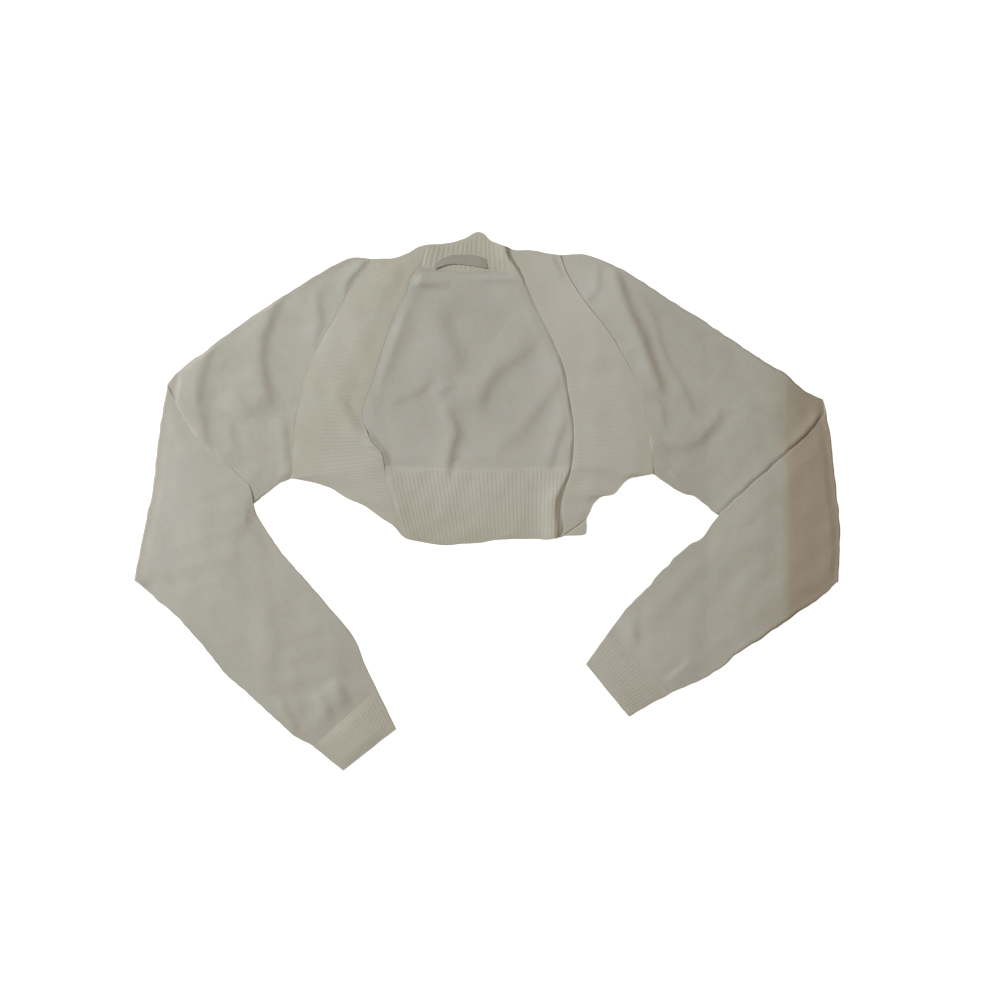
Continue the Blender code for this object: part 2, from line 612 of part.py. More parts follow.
def sleeve_tube(sleeve, collection):
    """A sleeve from its armhole mouth, round the elbow fold, to its cuff seam."""
    across = PLAN_STEPS_ACROSS
    upper_plan = patch(
        smooth_line(sleeve.armhole, across),
        smooth_line(sleeve.elbow, across),
        smooth_line(sleeve.overarm, ARM_STEPS),
        smooth_line(sleeve.underarm, ARM_STEPS),
    )
    upper_plan[0] += np.array([sleeve.side * ARMHOLE_OFFSET[0], ARMHOLE_OFFSET[1]])
    fore_plan = patch(
        smooth_line(sleeve.elbow, across, first=sleeve.elbow_slip),
        straight_line(*sleeve.cuff_start, across),
        smooth_line(sleeve.fore_inner, FOREARM_STEPS),
        smooth_line(sleeve.fore_outer, FOREARM_STEPS),
    )
    arm_creases = ARM_CREASES[sleeve.name]
    fore_creases = FOREARM_CREASES[sleeve.name]
    outer_rings = []
    inner_rings = []

    for step, row in enumerate(upper_plan):
        line = line_across(row)
        points = line(across_shares(math.dist(row[0], row[-1])))
        thickness = arm_thickness(sleeve, points, step / ARM_STEPS, arm_creases)
        outer, inner = ring_points(line, ring_depths(thickness), on_floor)
        outer_rings.append(outer)
        inner_rings.append(inner)

    flat = ring_depths(np.full(len(ACROSS_SHARES) + 4, 2 * WALL + HOLLOW_FLAT))
    for angle in ELBOW_ANGLES:
        turn = math.radians(angle)
        row = upper_plan[-1] + (fore_plan[0] - upper_plan[-1]) * angle / 180
        way = (row[-1] - row[0]) / math.dist(row[0], row[-1])
        outwards = sleeve.side * np.array([-way[1], way[0]])

        def bend(plan, depth, turn=turn, outwards=outwards):
            radius = ELBOW_OUTER_RADIUS - depth
            out = plan + outwards * (radius * math.sin(turn))[:, None]
            return np.column_stack([out, ELBOW_OUTER_RADIUS - radius * math.cos(turn)])

        outer, inner = ring_points(line_across(row), flat, bend)
        outer_rings.append(outer)
        inner_rings.append(inner)

    for step, row in enumerate(fore_plan):
        line = line_across(row)
        chord = math.dist(row[0], row[-1])
        points = line(across_shares(chord))
        lower, thickness = forearm_heights(sleeve, points, step / FOREARM_STEPS, fore_creases)

        def turned_over(plan, depth, step=step):
            under, total = forearm_heights(sleeve, plan, step / FOREARM_STEPS, fore_creases)
            return np.column_stack([plan, under + total - depth])

        outer, inner = ring_points(line, ring_depths(thickness), turned_over)
        outer_rings.append(outer)
        inner_rings.append(inner)

    return tube(f"sleeve_{sleeve.name}", np.array(outer_rings), np.array(inner_rings), collection)


def cuff(sleeve, collection):
    """A ribbed cuff: ribs along the sleeve on its upper side, and a plain side on the floor."""
    start = np.array(sleeve.cuff_start, float)
    end = np.array(sleeve.cuff_end, float)
    along = (end - start) / np.linalg.norm(end - start, axis=1)[:, None]
    start = start + along * SEAM_GAP
    ribs = round(math.dist(*start) / CUFF_RIB_PITCH) - 1
    rib_shares = np.linspace(0.07, 0.93, 2 * ribs + 1)
    thickness = 2 * WALL + HOLLOW_FLAT
    outer_rings = []
    inner_rings = []
    for step in range(CUFF_STEPS + 1):
        near, far = start + (end - start) * step / CUFF_STEPS
        chord = math.dist(near, far)
        raised = 0 < step < CUFF_STEPS
        first, second = (inset / chord for inset in EDGE_INSETS)
        shares = np.concatenate([[first, second], rib_shares, [1 - second, 1 - first]])
        turn = np.ones(len(shares))
        turn[[0, -1]] = EDGE_TURN
        ribbed = np.zeros(len(shares))
        if raised:
            ribbed[2:-2] = rib_relief(2 * ribs)
        half = thickness / 2
        wall_share = WALL / chord
        inner_shares = shares + wall_share * (1 - 2 * shares)
        rings = []
        inner_half = (half - WALL) * turn
        for ends, across, low, high in (
            ((0.0, 1.0), shares, half * (1 - turn), half * (1 + turn) + ribbed),
            ((wall_share, 1 - wall_share), inner_shares, half - inner_half, half + inner_half),
        ):
            def at(share):
                return near + (far - near) * np.atleast_1d(share)[:, None]

            rings.append(np.vstack([
                np.column_stack([at(ends[0]), [half]]),
                np.column_stack([at(across), low]),
                np.column_stack([at(ends[1]), [half]]),
                np.column_stack([at(across[::-1]), high[::-1]]),
            ]))
        outer_rings.append(rings[0])
        inner_rings.append(rings[1])
    return tube(f"cuff_{sleeve.name}", np.array(outer_rings), np.array(inner_rings), collection)


def centre_on_origin(made):
    """Moves the meshes so that the part's box stands on the origin by its bottom centre."""
    corners = np.array([vertex.co for part in made for vertex in part.data.vertices])
    lowest, highest = corners.min(axis=0), corners.max(axis=0)
    shift = -np.array([(lowest[0] + highest[0]) / 2, (lowest[1] + highest[1]) / 2, lowest[2]])
    for part in made:
        for vertex in part.data.vertices:
            vertex.co = vertex.co + type(vertex.co)(shift)


def main():
    for leftover in list(bpy.data.objects):
        bpy.data.objects.remove(leftover, do_unlink=True)
    collection = bpy.data.collections.new("knitted_shrug")
    bpy.context.scene.collection.children.link(collection)
    made = [
        back_panel(collection),
        hem_rib(collection),
        neck_rib(collection),
        label(collection),
        front_band(
            "front_band_left", BAND_EDGE_LEFT, (SHOULDER_LEFT, ARMHOLE_LEFT, SIDE_LEFT),
            RUNGS_LEFT, LIFTS_LEFT, BAND_CREASES["left"], collection,
        ),
        front_band(
            "front_band_right", BAND_EDGE_RIGHT, (SHOULDER_RIGHT, ARMHOLE_RIGHT, SIDE_RIGHT),
            RUNGS_RIGHT, LIFTS_RIGHT, BAND_CREASES["right"], collection,
        ),
    ]
    for sleeve in SLEEVES:
        made.append(sleeve_tube(sleeve, collection))
        made.append(cuff(sleeve, collection))
    centre_on_origin(made)


main()
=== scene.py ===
"""Knitted shrug laid flat on its back: the look of every piece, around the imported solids.

Metres, +Z up, lying on z = 0, with the neck towards +Y. The tables below are in millimetres, as the
pieces were drawn; LAY_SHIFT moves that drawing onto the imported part's origin.
"""

from __future__ import annotations

import logging
import math
from dataclasses import dataclass, field
from enum import Enum
from typing import Optional, Sequence, Union

import bpy
import numpy as np
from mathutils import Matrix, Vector

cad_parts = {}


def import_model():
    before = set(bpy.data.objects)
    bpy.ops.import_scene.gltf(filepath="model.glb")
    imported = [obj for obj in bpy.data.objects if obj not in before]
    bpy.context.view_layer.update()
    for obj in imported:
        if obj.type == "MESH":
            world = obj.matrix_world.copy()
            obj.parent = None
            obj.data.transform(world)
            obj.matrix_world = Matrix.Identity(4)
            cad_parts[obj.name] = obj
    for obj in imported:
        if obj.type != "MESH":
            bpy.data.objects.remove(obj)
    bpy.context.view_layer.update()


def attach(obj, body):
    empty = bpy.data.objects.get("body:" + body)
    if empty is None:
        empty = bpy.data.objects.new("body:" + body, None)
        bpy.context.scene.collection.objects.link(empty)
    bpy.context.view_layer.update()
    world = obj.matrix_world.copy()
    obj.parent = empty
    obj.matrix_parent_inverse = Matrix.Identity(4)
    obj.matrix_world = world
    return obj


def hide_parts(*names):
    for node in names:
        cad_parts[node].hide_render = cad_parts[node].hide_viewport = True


log = logging.getLogger("shrug")

Array = np.ndarray
Piece = bpy.types.Object
Socket = bpy.types.NodeSocket
Point = tuple[float, float]
Point3 = tuple[float, float, float]
Line = Sequence[Point]

MM = 0.001
LAY_SHIFT = np.array([0.611, -0.215])  # from the drawing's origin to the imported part's
WALL = 1.1  # thickness of the knitted cloth
LAY_GAP = 0.3  # between a layer and the one that lies on it
SEAM_GAP = 0.02  # between pieces sewn edge to edge
ROOT = "root"

WALE = 1.35  # width of one column of stitches
COURSE = 1.0  # height of one row of stitches
WALES_PER_RIB = 3.0

WAVER_LENGTH = 17.0  # usual distance from one slight waver of an edge to the next
WAVER_SEEDS = (71, 72)

RIM_STEPS = np.array([0.0, 0.12, 0.45, 1.0, 1.6])  # shares of half a wall, in from a rounded edge
RIM_ROUND = np.sqrt(1.0 - (1.0 - np.minimum(RIM_STEPS, 1.0)) ** 2)  # share of the half thickness at each
SLEEVE_WALL = 0.6  # the sleeves' finer cloth, pressed flat
FREE_RIM = WALL / 2  # how far in a free edge is rounded
SEWN_RIM = 0.05  # an edge that is linked to the next piece keeps its thickness, and turns down this far in

# Outlines, as points that a smooth curve goes through
SHOULDER_LEFT: Line = ((-66.4, 269.7), (-76, 267), (-86, 261), (-100, 256), (-123, 255))
SHOULDER_RIGHT: Line = ((22, 266), (28, 264), (44, 264), (60, 261), (74, 259))
ARMHOLE_LEFT: Line = (
    (-123, 255), (-147, 223), (-167, 187), (-183, 159), (-195, 131), (-201, 105), (-206, 75), (-209, 24),
)
ARMHOLE_RIGHT: Line = (
    (74, 259), (82, 238), (100, 210), (123, 181), (140, 154), (155, 124), (163, 94), (170, 57), (172, 29),
)
SIDE_LEFT: Line = ((-209, 24), (-190, 21), (-167, 14), (-151, 4), (-131, -5), (-113, -18), (-102, -25), (-92, -36))
SIDE_RIGHT: Line = ((172, 29), (156, 26), (143, 21), (131, 8), (118, 5), (110, -2), (106, -10), (102, -18))
HEM_CORNER_RIGHT: Line = ((102, -18), (102, -30), (99, -35), (80, -36))
HEM_BOTTOM: Line = (
    (-88, -39), (-70, -43), (-48, -46), (-29, -44.5), (-10, -43.5), (7, -40.5), (43, -39.2), (62, -40), (80, -36),
)
HEM_SEAM: Line = ((-209, 24), (-167, 33), (-109, 36), (-15, 34), (79, 36), (137, 35), (172, 29))
NECK_TOP: Line = ((-66.35, 270), (-42, 272), (-26, 277), (-15, 283), (-7, 282), (2, 274), (20, 267), (29, 263))
NECK_SEAM: Line = ((-72.2, 246), (-58, 243), (-45, 242), (-20, 241), (11, 242), (34, 242))
BACK_SHOULDER_LEFT: Line = ((-123, 255), (-100, 256), (-86, 260), (-67.1, 267))
BACK_SHOULDER_RIGHT: Line = ((35, 262), (46, 264), (60, 261), (74, 259))
BAND_EDGE_LEFT: Line = (
    (-71.6, 249), (-83, 235), (-88, 218), (-97, 202), (-112, 162), (-124, 123), (-133, 98), (-132, 84),
    (-124, 63), (-113, 50), (-108, 21), (-98, -11), (-96, -27), (-88, -38.6),
)
BAND_EDGE_RIGHT: Line = (
    (22, 266), (25, 256), (34, 241), (46, 211), (66, 171), (79, 139), (83, 115), (88, 87), (89, 65),
    (86, 34), (78, 7), (76, -8), (78, -35),
)
CUFF_START_LEFT: Line = ((-119, -196), (-186, -257))
CUFF_START_RIGHT: Line = ((125, -137), (191, -201))
LABEL_TOP: Line = ((-57, 250), (-45, 257.6), (-30, 259.4), (-15, 258.4), (-3, 255))
LABEL_BOTTOM: Line = ((-58, 244), (-45, 248.4), (-34, 249.2), (-20, 247.8), (-2, 244.4))


class Side(Enum):
    """Which side of the garment a piece is on, as seen from above with the neck at the top."""

    LEFT = -1
    RIGHT = 1

    @property
    def word(self) -> str:
        """The side's name, as it stands in the names of nodes."""
        return self.name.lower()


class TubePart(Enum):
    """The three stretches of a folded sleeve."""

    ARM = "arm"
    ELBOW = "elbow"
    FOREARM = "forearm"


class StitchFace(Enum):
    """Which face of the plain knit shows: the one with the Vs, or the one with the rows of loops."""

    KNIT = 0.0
    PURL = 1.0


@dataclass(frozen=True)
class Fold:
    """A crease: the cloth rises softly to a crest, drops across a line and recovers beyond it.

    Each row of the line is x, y and the drop there, in millimetres. The drop falls to the left of the
    way along the line.
    """

    line: tuple[Point3, ...]
    sharp: float  # half width of the drop
    before: float  # how far the rise before the line reaches
    after: float  # how far the recovery after it reaches

    def relief(self, plan: Array) -> Array:
        """The height that it adds at each plan point.

        Args:
            plan: Points as an array whose last axis is (x, y).

        Returns:
            One height for each point.
        """
        curve = smooth_curve(self.line, 10)
        across, place = beside_line(plan, curve[:, :2])
        drop = np.interp(place, np.arange(len(curve)), curve[:, 2])
        reach = np.where(across < 0, self.before, self.after)
        swing = 0.25 - 0.5 * np.tanh(across / self.sharp)
        return drop * swing * np.exp(-((np.abs(across) / reach) ** 1.5))


def creases(*rows: tuple[float, ...]) -> tuple[Fold, ...]:
    """Creases from rows of numbers: sharp, before and after, and then x, y and the drop at each point."""
    return tuple(Fold(tuple(zip(row[3::3], row[4::3], row[5::3])), *row[:3]) for row in rows)


def fold_relief(plan: Array, folds: Sequence[Fold]) -> Array:
    """The height that all the creases add at each plan point."""
    return sum((fold.relief(plan) for fold in folds), np.zeros(plan.shape[:-1]))


def smoothstep(values: Union[float, Array]) -> Array:
    """0 below 0, 1 above 1 and an even S between."""
    held = np.clip(values, 0.0, 1.0)
    return held * held * (3.0 - 2.0 * held)


def ramp(values: Array, start: float, run: Union[float, Array]) -> Array:
    """An even S from 0 at the start to 1 one run further."""
    return smoothstep((values - start) / run)


def fade(past: Array, run: float) -> Array:
    """1 up to 0, and a soft fall to nothing past it, most of it within the run."""
    return np.exp(-((np.maximum(past, 0.0) / run) ** 2))


def cockle(plan: Array, wavelength: float, height: float, seed: int) -> Array:
    """The slight, even unevenness of knit that lies loose.

    Args:
        plan: Points as an array whose last axis is (x, y), in millimetres.
        wavelength: Usual distance from one rise to the next.
        height: Usual height of a rise.
        seed: Fixes the pattern.

    Returns:
        One height for each point.
    """
    source = np.random.default_rng(seed)
    waves = 14
    total = np.zeros(plan.shape[:-1])
    for _ in range(waves):
        turn = source.uniform(0, math.tau)
        stretch = source.uniform(0.7, 1.6)
        pull = np.array([math.cos(turn), math.sin(turn)]) * math.tau / (wavelength * stretch)
        total += np.cos(plan @ pull + source.uniform(0, math.tau))
    return height * total / math.sqrt(waves)


def smooth_curve(points: Line, steps_per_span: int = 32) -> Array:
    """A Catmull-Rom curve through the points, as many short straight steps."""
    knots = np.array(points, float)
    knots = np.vstack([2 * knots[0] - knots[1], knots, 2 * knots[-1] - knots[-2]])
    share = np.linspace(0.0, 1.0, steps_per_span, endpoint=False)[:, None]
    spans = []
    for before, start, end, after in zip(knots[:-3], knots[1:-2], knots[2:-1], knots[3:]):
        spans.append(0.5 * (
            2 * start
            + (end - before) * share
            + (2 * before - 5 * start + 4 * end - after) * share**2
            + (3 * start - before - 3 * end + after) * share**3
        ))
    return np.vstack(spans + [knots[-2:-1]])


def lengths_along(curve: Array) -> Array:
    """How far each point of a curve lies along it."""
    return np.concatenate([[0.0], np.cumsum(np.hypot(*np.diff(curve, axis=0).T))])


def at_shares(curve: Array, shares: Array) -> Array:
    """The curve's points at these shares of its length."""
    lengths = lengths_along(curve)
    wanted = np.asarray(shares) * lengths[-1]
    return np.column_stack([np.interp(wanted, lengths, curve[:, axis]) for axis in (0, 1)])


def on_line(points: Line, shares: Array) -> Array:
    """Points of the smooth curve through a table's points, at these shares of its length."""
    return at_shares(smooth_curve(points), shares)


def chained(*lines: Array) -> Array:
    """Lines that follow each other, made one, with the corners between them kept."""
    return np.vstack([lines[0]] + [line[1:] for line in lines[1:]])


def coons(near: Array, far: Array, left: Array, right: Array, across: Array, along: Array) -> Array:
    """A plan grid, rows from near to far and columns from left to right, that meets all four edges."""
    a = across[None, :, None]
    b = along[:, None, None]
    sides = (1 - a) * left[:, None] + a * right[:, None]
    near_corners = (1 - a) * near[0] + a * near[-1]
    far_corners = (1 - a) * far[0] + a * far[-1]
    return ruled(near, far, along) + sides - (1 - b) * near_corners - b * far_corners


def ruled(near: Array, far: Array, rows: Array) -> Array:
    """A plan grid whose columns run straight from one edge to the other, with rows at these shares."""
    return (1 - rows)[:, None, None] * near[None] + rows[:, None, None] * far[None]


def graded(length: float, step: float, rims: tuple[float, float] = (FREE_RIM, FREE_RIM)) -> tuple[Array, Array]:
    """Shares along a side of a wall, closer together at the ends that are rounded.

    Args:
        length: The side's length in millimetres.
        step: Usual distance between the lines.
        rims: FREE_RIM or SEWN_RIM at the start and the end, or 0 where the wall has no edge.

    Returns:
        The shares, and the share of the half thickness that the wall has at each.
    """
    shapes = {
        0.0: (np.zeros(1), np.ones(1)),
        SEWN_RIM: (np.array([0.0, SEWN_RIM, 0.5]), np.ones(3)),
        FREE_RIM: (RIM_STEPS * FREE_RIM, RIM_ROUND),
    }
    (first, round_first), (last, round_last) = shapes[rims[0]], shapes[rims[1]]
    last = length - last[::-1]
    inner = max(int(round((last[0] - first[-1]) / step)), 1)
    middle = np.linspace(first[-1], last[0], inner + 1)[1:-1]
    places = np.concatenate([first, middle, last])
    return places / length, np.concatenate([round_first, np.ones(len(middle)), round_last[::-1]])


def beside_line(plan: Array, curve: Array) -> tuple[Array, Array]:
    """Where each point lies beside a curve.

    Args:
        plan: Points as an array whose last axis is (x, y).
        curve: The curve's points, in order.

    Returns:
        The distance from the curve, above 0 to the left of the way along it, and the place on the curve
        that is nearest, counted in its points.
    """
    flat = plan.reshape(-1, 2)
    start = curve[:-1]
    run = curve[1:] - start
    length2 = (run**2).sum(axis=1)
    best = np.full(len(flat), np.inf)
    signed = np.zeros(len(flat))
    place = np.zeros(len(flat))
    for number, (begin, way, size) in enumerate(zip(start, run, length2)):
        offset = flat - begin
        share = np.clip((offset @ way) / size, 0.0, 1.0)
        gap = np.hypot(*(offset - share[:, None] * way).T)
        nearer = gap < best
        turn = way[0] * offset[:, 1] - way[1] * offset[:, 0]
        best = np.where(nearer, gap, best)
        signed = np.where(nearer, np.sign(turn) * gap, signed)
        place = np.where(nearer, number + share, place)
    return signed.reshape(plan.shape[:-1]), place.reshape(plan.shape[:-1])


def edge_at(curve: Array, height: Array) -> Array:
    """The x of a curve that runs down the plan, at each y."""
    order = np.argsort(curve[:, 1])
    return np.interp(height, curve[order, 1], curve[order, 0])


# ---- node trees


Colour = tuple[float, float, float]
Input = Union[float, str, Colour, Socket]


def live_socket(sockets: bpy.types.bpy_prop_collection, name: str) -> Socket:
    """The socket of this name that is in use."""
    return next(socket for socket in sockets if socket.name == name and socket.enabled)


class Wiring:
    """Adds nodes to a tree and links them, from left to right."""

    def __init__(self, tree: bpy.types.NodeTree) -> None:
        """Takes over a tree."""
        self.tree = tree
        self.column = 0

    def node(
        self, kind: str, inputs: Optional[dict[Union[int, str], Input]] = None, **settings: object
    ) -> bpy.types.Node:
        """Adds a node.

        Args:
            kind: The node's type.
            inputs: What its inputs get, by their names or numbers.
            **settings: The node's own settings.

        Returns:
            The new node.
        """
        made = self.tree.nodes.new(kind)
        made.location = (self.column, 0)
        self.column += 180
        for name, value in settings.items():
            setattr(made, name, value)
        for name, value in (inputs or {}).items():
            self.feed(made.inputs[name] if isinstance(name, int) else live_socket(made.inputs, name), value)
        return made

    def feed(self, socket: Socket, value: Input) -> None:
        """Links an output to an input, or sets the input's own value. A colour gets its alpha here."""
        if isinstance(value, Socket):
            self.tree.links.new(value, socket)
        elif isinstance(value, tuple) and len(socket.default_value) == len(value) + 1:
            socket.default_value = (*value, 1.0)
        else:
            socket.default_value = value

    def math(self, operation: str, *values: Input, clamp: bool = False) -> Socket:
        """The result of a Math node on these values."""
        return self.node("ShaderNodeMath", dict(enumerate(values)), operation=operation, use_clamp=clamp).outputs[0]

    def blend(self, share: Input, first: Input, second: Input) -> Socket:
        """first where share is 0 and second where it is 1."""
        return self.math("ADD", self.math("MULTIPLY", self.math("SUBTRACT", second, first), share), first)

    def crests(self, place: Input, power: Input = 1.0) -> Socket:
        """Rounded crests, one for each whole step of the place; a power under 1 makes them fuller."""
        wave = self.math("SINE", self.math("MULTIPLY", place, math.pi))
        return self.math("POWER", self.math("ABSOLUTE", wave), power)

    def noise(self, place: Input, scale: Input, detail: float, rough: float = 0.5) -> Socket:
        """Noise from 0 to 1 over the place."""
        return self.node("ShaderNodeTexNoise", {
            "Vector": place, "Scale": scale, "Detail": detail, "Roughness": rough,
        }).outputs["Fac"]

    def mixed(self, share: Input, first: Input, second: Input) -> Socket:
        """A colour between two."""
        mixer = self.node("ShaderNodeMix", {"Factor": share, "A": first, "B": second}, data_type="RGBA")
        return live_socket(mixer.outputs, "Result")

    def attribute(self, name: str) -> Socket:
        """A named number of the piece's points."""
        return self.node("ShaderNodeAttribute", attribute_name=name).outputs["Fac"]

    def cloth(self, colour: Input, bump: dict[str, Input], gloss: dict[str, float]) -> None:
        """Ends a material in a shader over a bump.

        Args:
            colour: The cloth's colour.
            bump: What the bump gets.
            gloss: The shader's own values.
        """
        normal = self.node("ShaderNodeBump", bump).outputs["Normal"]
        shader = self.node("ShaderNodeBsdfPrincipled", {"Base Color": colour, "Normal": normal, **gloss})
        self.node("ShaderNodeOutputMaterial", {"Surface": shader.outputs["BSDF"]})

    def dressed(self, shape: Input, finish: Input, result: bpy.types.Node) -> None:
        """Ends a geometry tree: its instances are made real and smooth, and get their finish."""
        real = self.node("GeometryNodeRealizeInstances", {0: shape}).outputs[0]
        smooth = self.node("GeometryNodeSetShadeSmooth", {"Geometry": real}).outputs[0]
        clad = self.node("GeometryNodeSetMaterial", {"Geometry": smooth, "Material": finish}).outputs[0]
        self.feed(result.inputs[0], clad)


def new_group(name: str, kind: str, inputs: dict[str, tuple[str, object]], outputs: dict[str, str]) -> tuple[
    Wiring, bpy.types.Node, bpy.types.Node
]:
    """An empty node group with named inputs and outputs.

    Args:
        name: The group's name.
        kind: ShaderNodeTree or GeometryNodeTree.
        inputs: For each input its socket type and its default, or None.
        outputs: For each output its socket type.

    Returns:
        The wiring of the new tree, its input node and its output node.
    """
    tree = bpy.data.node_groups.new(name, kind)
    for title, (socket_type, default) in inputs.items():
        made = tree.interface.new_socket(title, in_out="INPUT", socket_type=f"NodeSocket{socket_type}")
        if default is not None:
            made.default_value = default
    for title, socket_type in outputs.items():
        tree.interface.new_socket(title, in_out="OUTPUT", socket_type=f"NodeSocket{socket_type}")
    wiring = Wiring(tree)
    return wiring, wiring.node("NodeGroupInput"), wiring.node("NodeGroupOutput")


def new_material(name: str) -> tuple[bpy.types.Material, Wiring]:
    """A material with an empty tree, and the tree's wiring."""
    made = bpy.data.materials.new(name)
    made.use_nodes = True
    made.node_tree.nodes.clear()
    return made, Wiring(made.node_tree)


@dataclass
class KnitGroups:
    """The shader groups that every knitted finish shares."""

    stitches: bpy.types.NodeTree = field(init=False)
    ageing: bpy.types.NodeTree = field(init=False)

    def __post_init__(self) -> None:
        """Builds both groups once."""
        self.stitches = self.stitch_group()
        self.ageing = self.yarn_group()

    @staticmethod
    def stitch_group() -> bpy.types.NodeTree:
        """The height of the stitches over a map whose units are wales and courses, and the painted shade in their
        dips.
        """
        wiring, given, result = new_group(
            "knit_stitches", "ShaderNodeTree",
            {"Stitch": ("Vector", None), "Purl": ("Float", 0.0), "Rib Shadow": ("Float", 0.0)},
            {"Height": "Float", "Painted Stitch Shade": "Float"},
        )
        apart = wiring.node("ShaderNodeSeparateXYZ", {0: given.outputs["Stitch"]})
        wale, course = apart.outputs[0], apart.outputs[1]
        from_middle = wiring.math("ABSOLUTE", wiring.math("MULTIPLY_ADD", wiring.math("FRACT", wale), 2.0, -1.0))
        slanted = wiring.math("FRACT", wiring.math("MULTIPLY_ADD", from_middle, -0.55, course))
        loop = wiring.math("MULTIPLY_ADD", wiring.crests(slanted, 0.7), 0.5, 0.5)
        knit = wiring.math("MULTIPLY", wiring.crests(from_middle, 0.6), loop)
        wave = wiring.math("COSINE", wiring.math("MULTIPLY", wale, math.tau))
        purl = wiring.crests(wiring.math("MULTIPLY_ADD", wave, 0.18, course), 0.8)
        height = wiring.blend(given.outputs["Purl"], knit, purl)
        rib = wiring.crests(wiring.math("DIVIDE", wiring.math("SUBTRACT", wale, 0.5), WALES_PER_RIB), 0.6)
        shadow = wiring.math("MULTIPLY", rib, given.outputs["Rib Shadow"])
        wiring.feed(result.inputs["Height"], wiring.math("MULTIPLY_ADD", shadow, 1.6, height))
        # Painted shade: the colour darkens where the stitches dip
        wiring.feed(result.inputs["Painted Stitch Shade"], wiring.math("SUBTRACT", 1.0, height, clamp=True))
        return wiring.tree

    @staticmethod
    def yarn_group() -> bpy.types.NodeTree:
        """The yarn's fuzz, and the slight change of tone over a worn, washed garment."""
        wiring, given, result = new_group(
            "yarn_tone", "ShaderNodeTree",
            {"Place": ("Vector", None), "Patch Scale": ("Float", 22.0), "Fuzz Scale": ("Float", 1500.0)},
            {"Tone": "Float", "Warm": "Float", "Cool": "Float", "Fuzz": "Float"},
        )
        place = given.outputs["Place"]
        patch = wiring.math("MULTIPLY", wiring.noise(place, given.outputs["Patch Scale"], 3.0), 0.65)
        tone = wiring.math("ADD", patch, wiring.math("MULTIPLY", wiring.noise(place, 260.0, 2.0), 0.35))
        hue = wiring.noise(place, 84.0, 2.0)
        for title, source, gain, start in (
            ("Tone", tone, 2.2, -0.6), ("Warm", hue, 5.0, -2.6), ("Cool", hue, -5.0, 2.4),
        ):
            wiring.feed(result.inputs[title], wiring.math("MULTIPLY_ADD", source, gain, start, clamp=True))
        wiring.feed(result.inputs["Fuzz"], wiring.noise(place, given.outputs["Fuzz Scale"], 3.0, 0.7))
        return wiring.tree


@dataclass(frozen=True)
class KnitFinish:
    """A knitted finish: its yarn's colours, the brown of its painted shade, and how deep its stitches are."""

    name: str
    slot: str
    light: Colour
    dark: Colour
    blush: Colour  # where the tone turns a little warm
    cool: Colour  # where it turns a little cool
    stitch_depth: float  # metres
    # the brown that painted shade mixes the yarn towards
    yellowed: Colour = (0.525, 0.44, 0.35)
    pale: Colour = (0.71, 0.685, 0.645)
    face: StitchFace = StitchFace.KNIT

    def material(self, groups: KnitGroups) -> bpy.types.Material:
        """Builds the material, which reads the piece's own knit map and its place on the garment."""
        made, wiring = new_material(self.name)
        knit_map = wiring.node("ShaderNodeUVMap", uv_map="knit").outputs["UV"]
        stitches = wiring.node("ShaderNodeGroup", {
            "Stitch": knit_map, "Purl": self.face.value, "Rib Shadow": wiring.attribute("flat_side"),
        }, node_tree=groups.stitches)
        place = wiring.node("ShaderNodeTexCoord").outputs["Object"]
        yarn = wiring.node("ShaderNodeGroup", {"Place": place}, node_tree=groups.ageing)
        # Painted shade between the ribs: the colour darkens towards each groove, where shade falls
        between = wiring.math("SUBTRACT", 1.0, wiring.crests(wiring.attribute("rib_phase")))
        between = wiring.math("MULTIPLY", wiring.math("POWER", between, 1.5), wiring.attribute("rib_amount"))
        tone = wiring.mixed(yarn.outputs["Tone"], self.dark, self.light)
        # Painted shade is mixed in here: the sleeves' brown painted shadow and rim shade, and darkening in the dips of
        # the stitches and between the ribs
        for where, most, colour in (
            (yarn.outputs["Warm"], 0.6, self.blush),
            (yarn.outputs["Cool"], 0.5, self.cool),
            (wiring.attribute("pale"), 1.0, self.pale),
            (wiring.attribute("yellowed"), 0.8, self.yellowed),
            (stitches.outputs["Painted Stitch Shade"], 0.22, self.dark),
            (between, 0.5, self.dark),
        ):
            tone = wiring.mixed(wiring.math("MULTIPLY", where, most), tone, colour)
        height = wiring.math("MULTIPLY_ADD", yarn.outputs["Fuzz"], 0.5, stitches.outputs["Height"])
        wiring.cloth(
            tone,
            {"Strength": 0.55, "Distance": self.stitch_depth, "Height": height},
            {"Roughness": 0.94, "Specular IOR Level": 0.18, "Sheen Weight": 0.12, "Sheen Roughness": 0.55},
        )
        return made


@dataclass(frozen=True)
class TapeFinish:
    """A woven tape: fine warp and weft, with a faint satin."""

    name: str
    slot: str
    light: Colour
    dark: Colour
    thread: float  # metres from one thread to the next

    def material(self) -> bpy.types.Material:
        """Builds the material, with its weave on Object coordinates."""
        made, wiring = new_material(self.name)
        place = wiring.node("ShaderNodeTexCoord").outputs["Object"]
        ways = wiring.node("ShaderNodeSeparateXYZ", {0: place}).outputs
        warp, weft = (
            wiring.math("SINE", wiring.math("MULTIPLY", ways[axis], math.pi / self.thread)) for axis in (0, 1)
        )
        weave = wiring.math("ABSOLUTE", wiring.math("MULTIPLY", warp, weft))
        share = wiring.math(
            "MULTIPLY_ADD", wiring.noise(place, 240.0, 3.0), 0.7, wiring.math("MULTIPLY", weave, 0.3), clamp=True,
        )
        wiring.cloth(
            wiring.mixed(share, self.dark, self.light),
            {"Strength": 0.4, "Distance": self.thread / 3, "Height": weave},
            {"Roughness": 0.62, "Specular IOR Level": 0.35},
        )
        return made


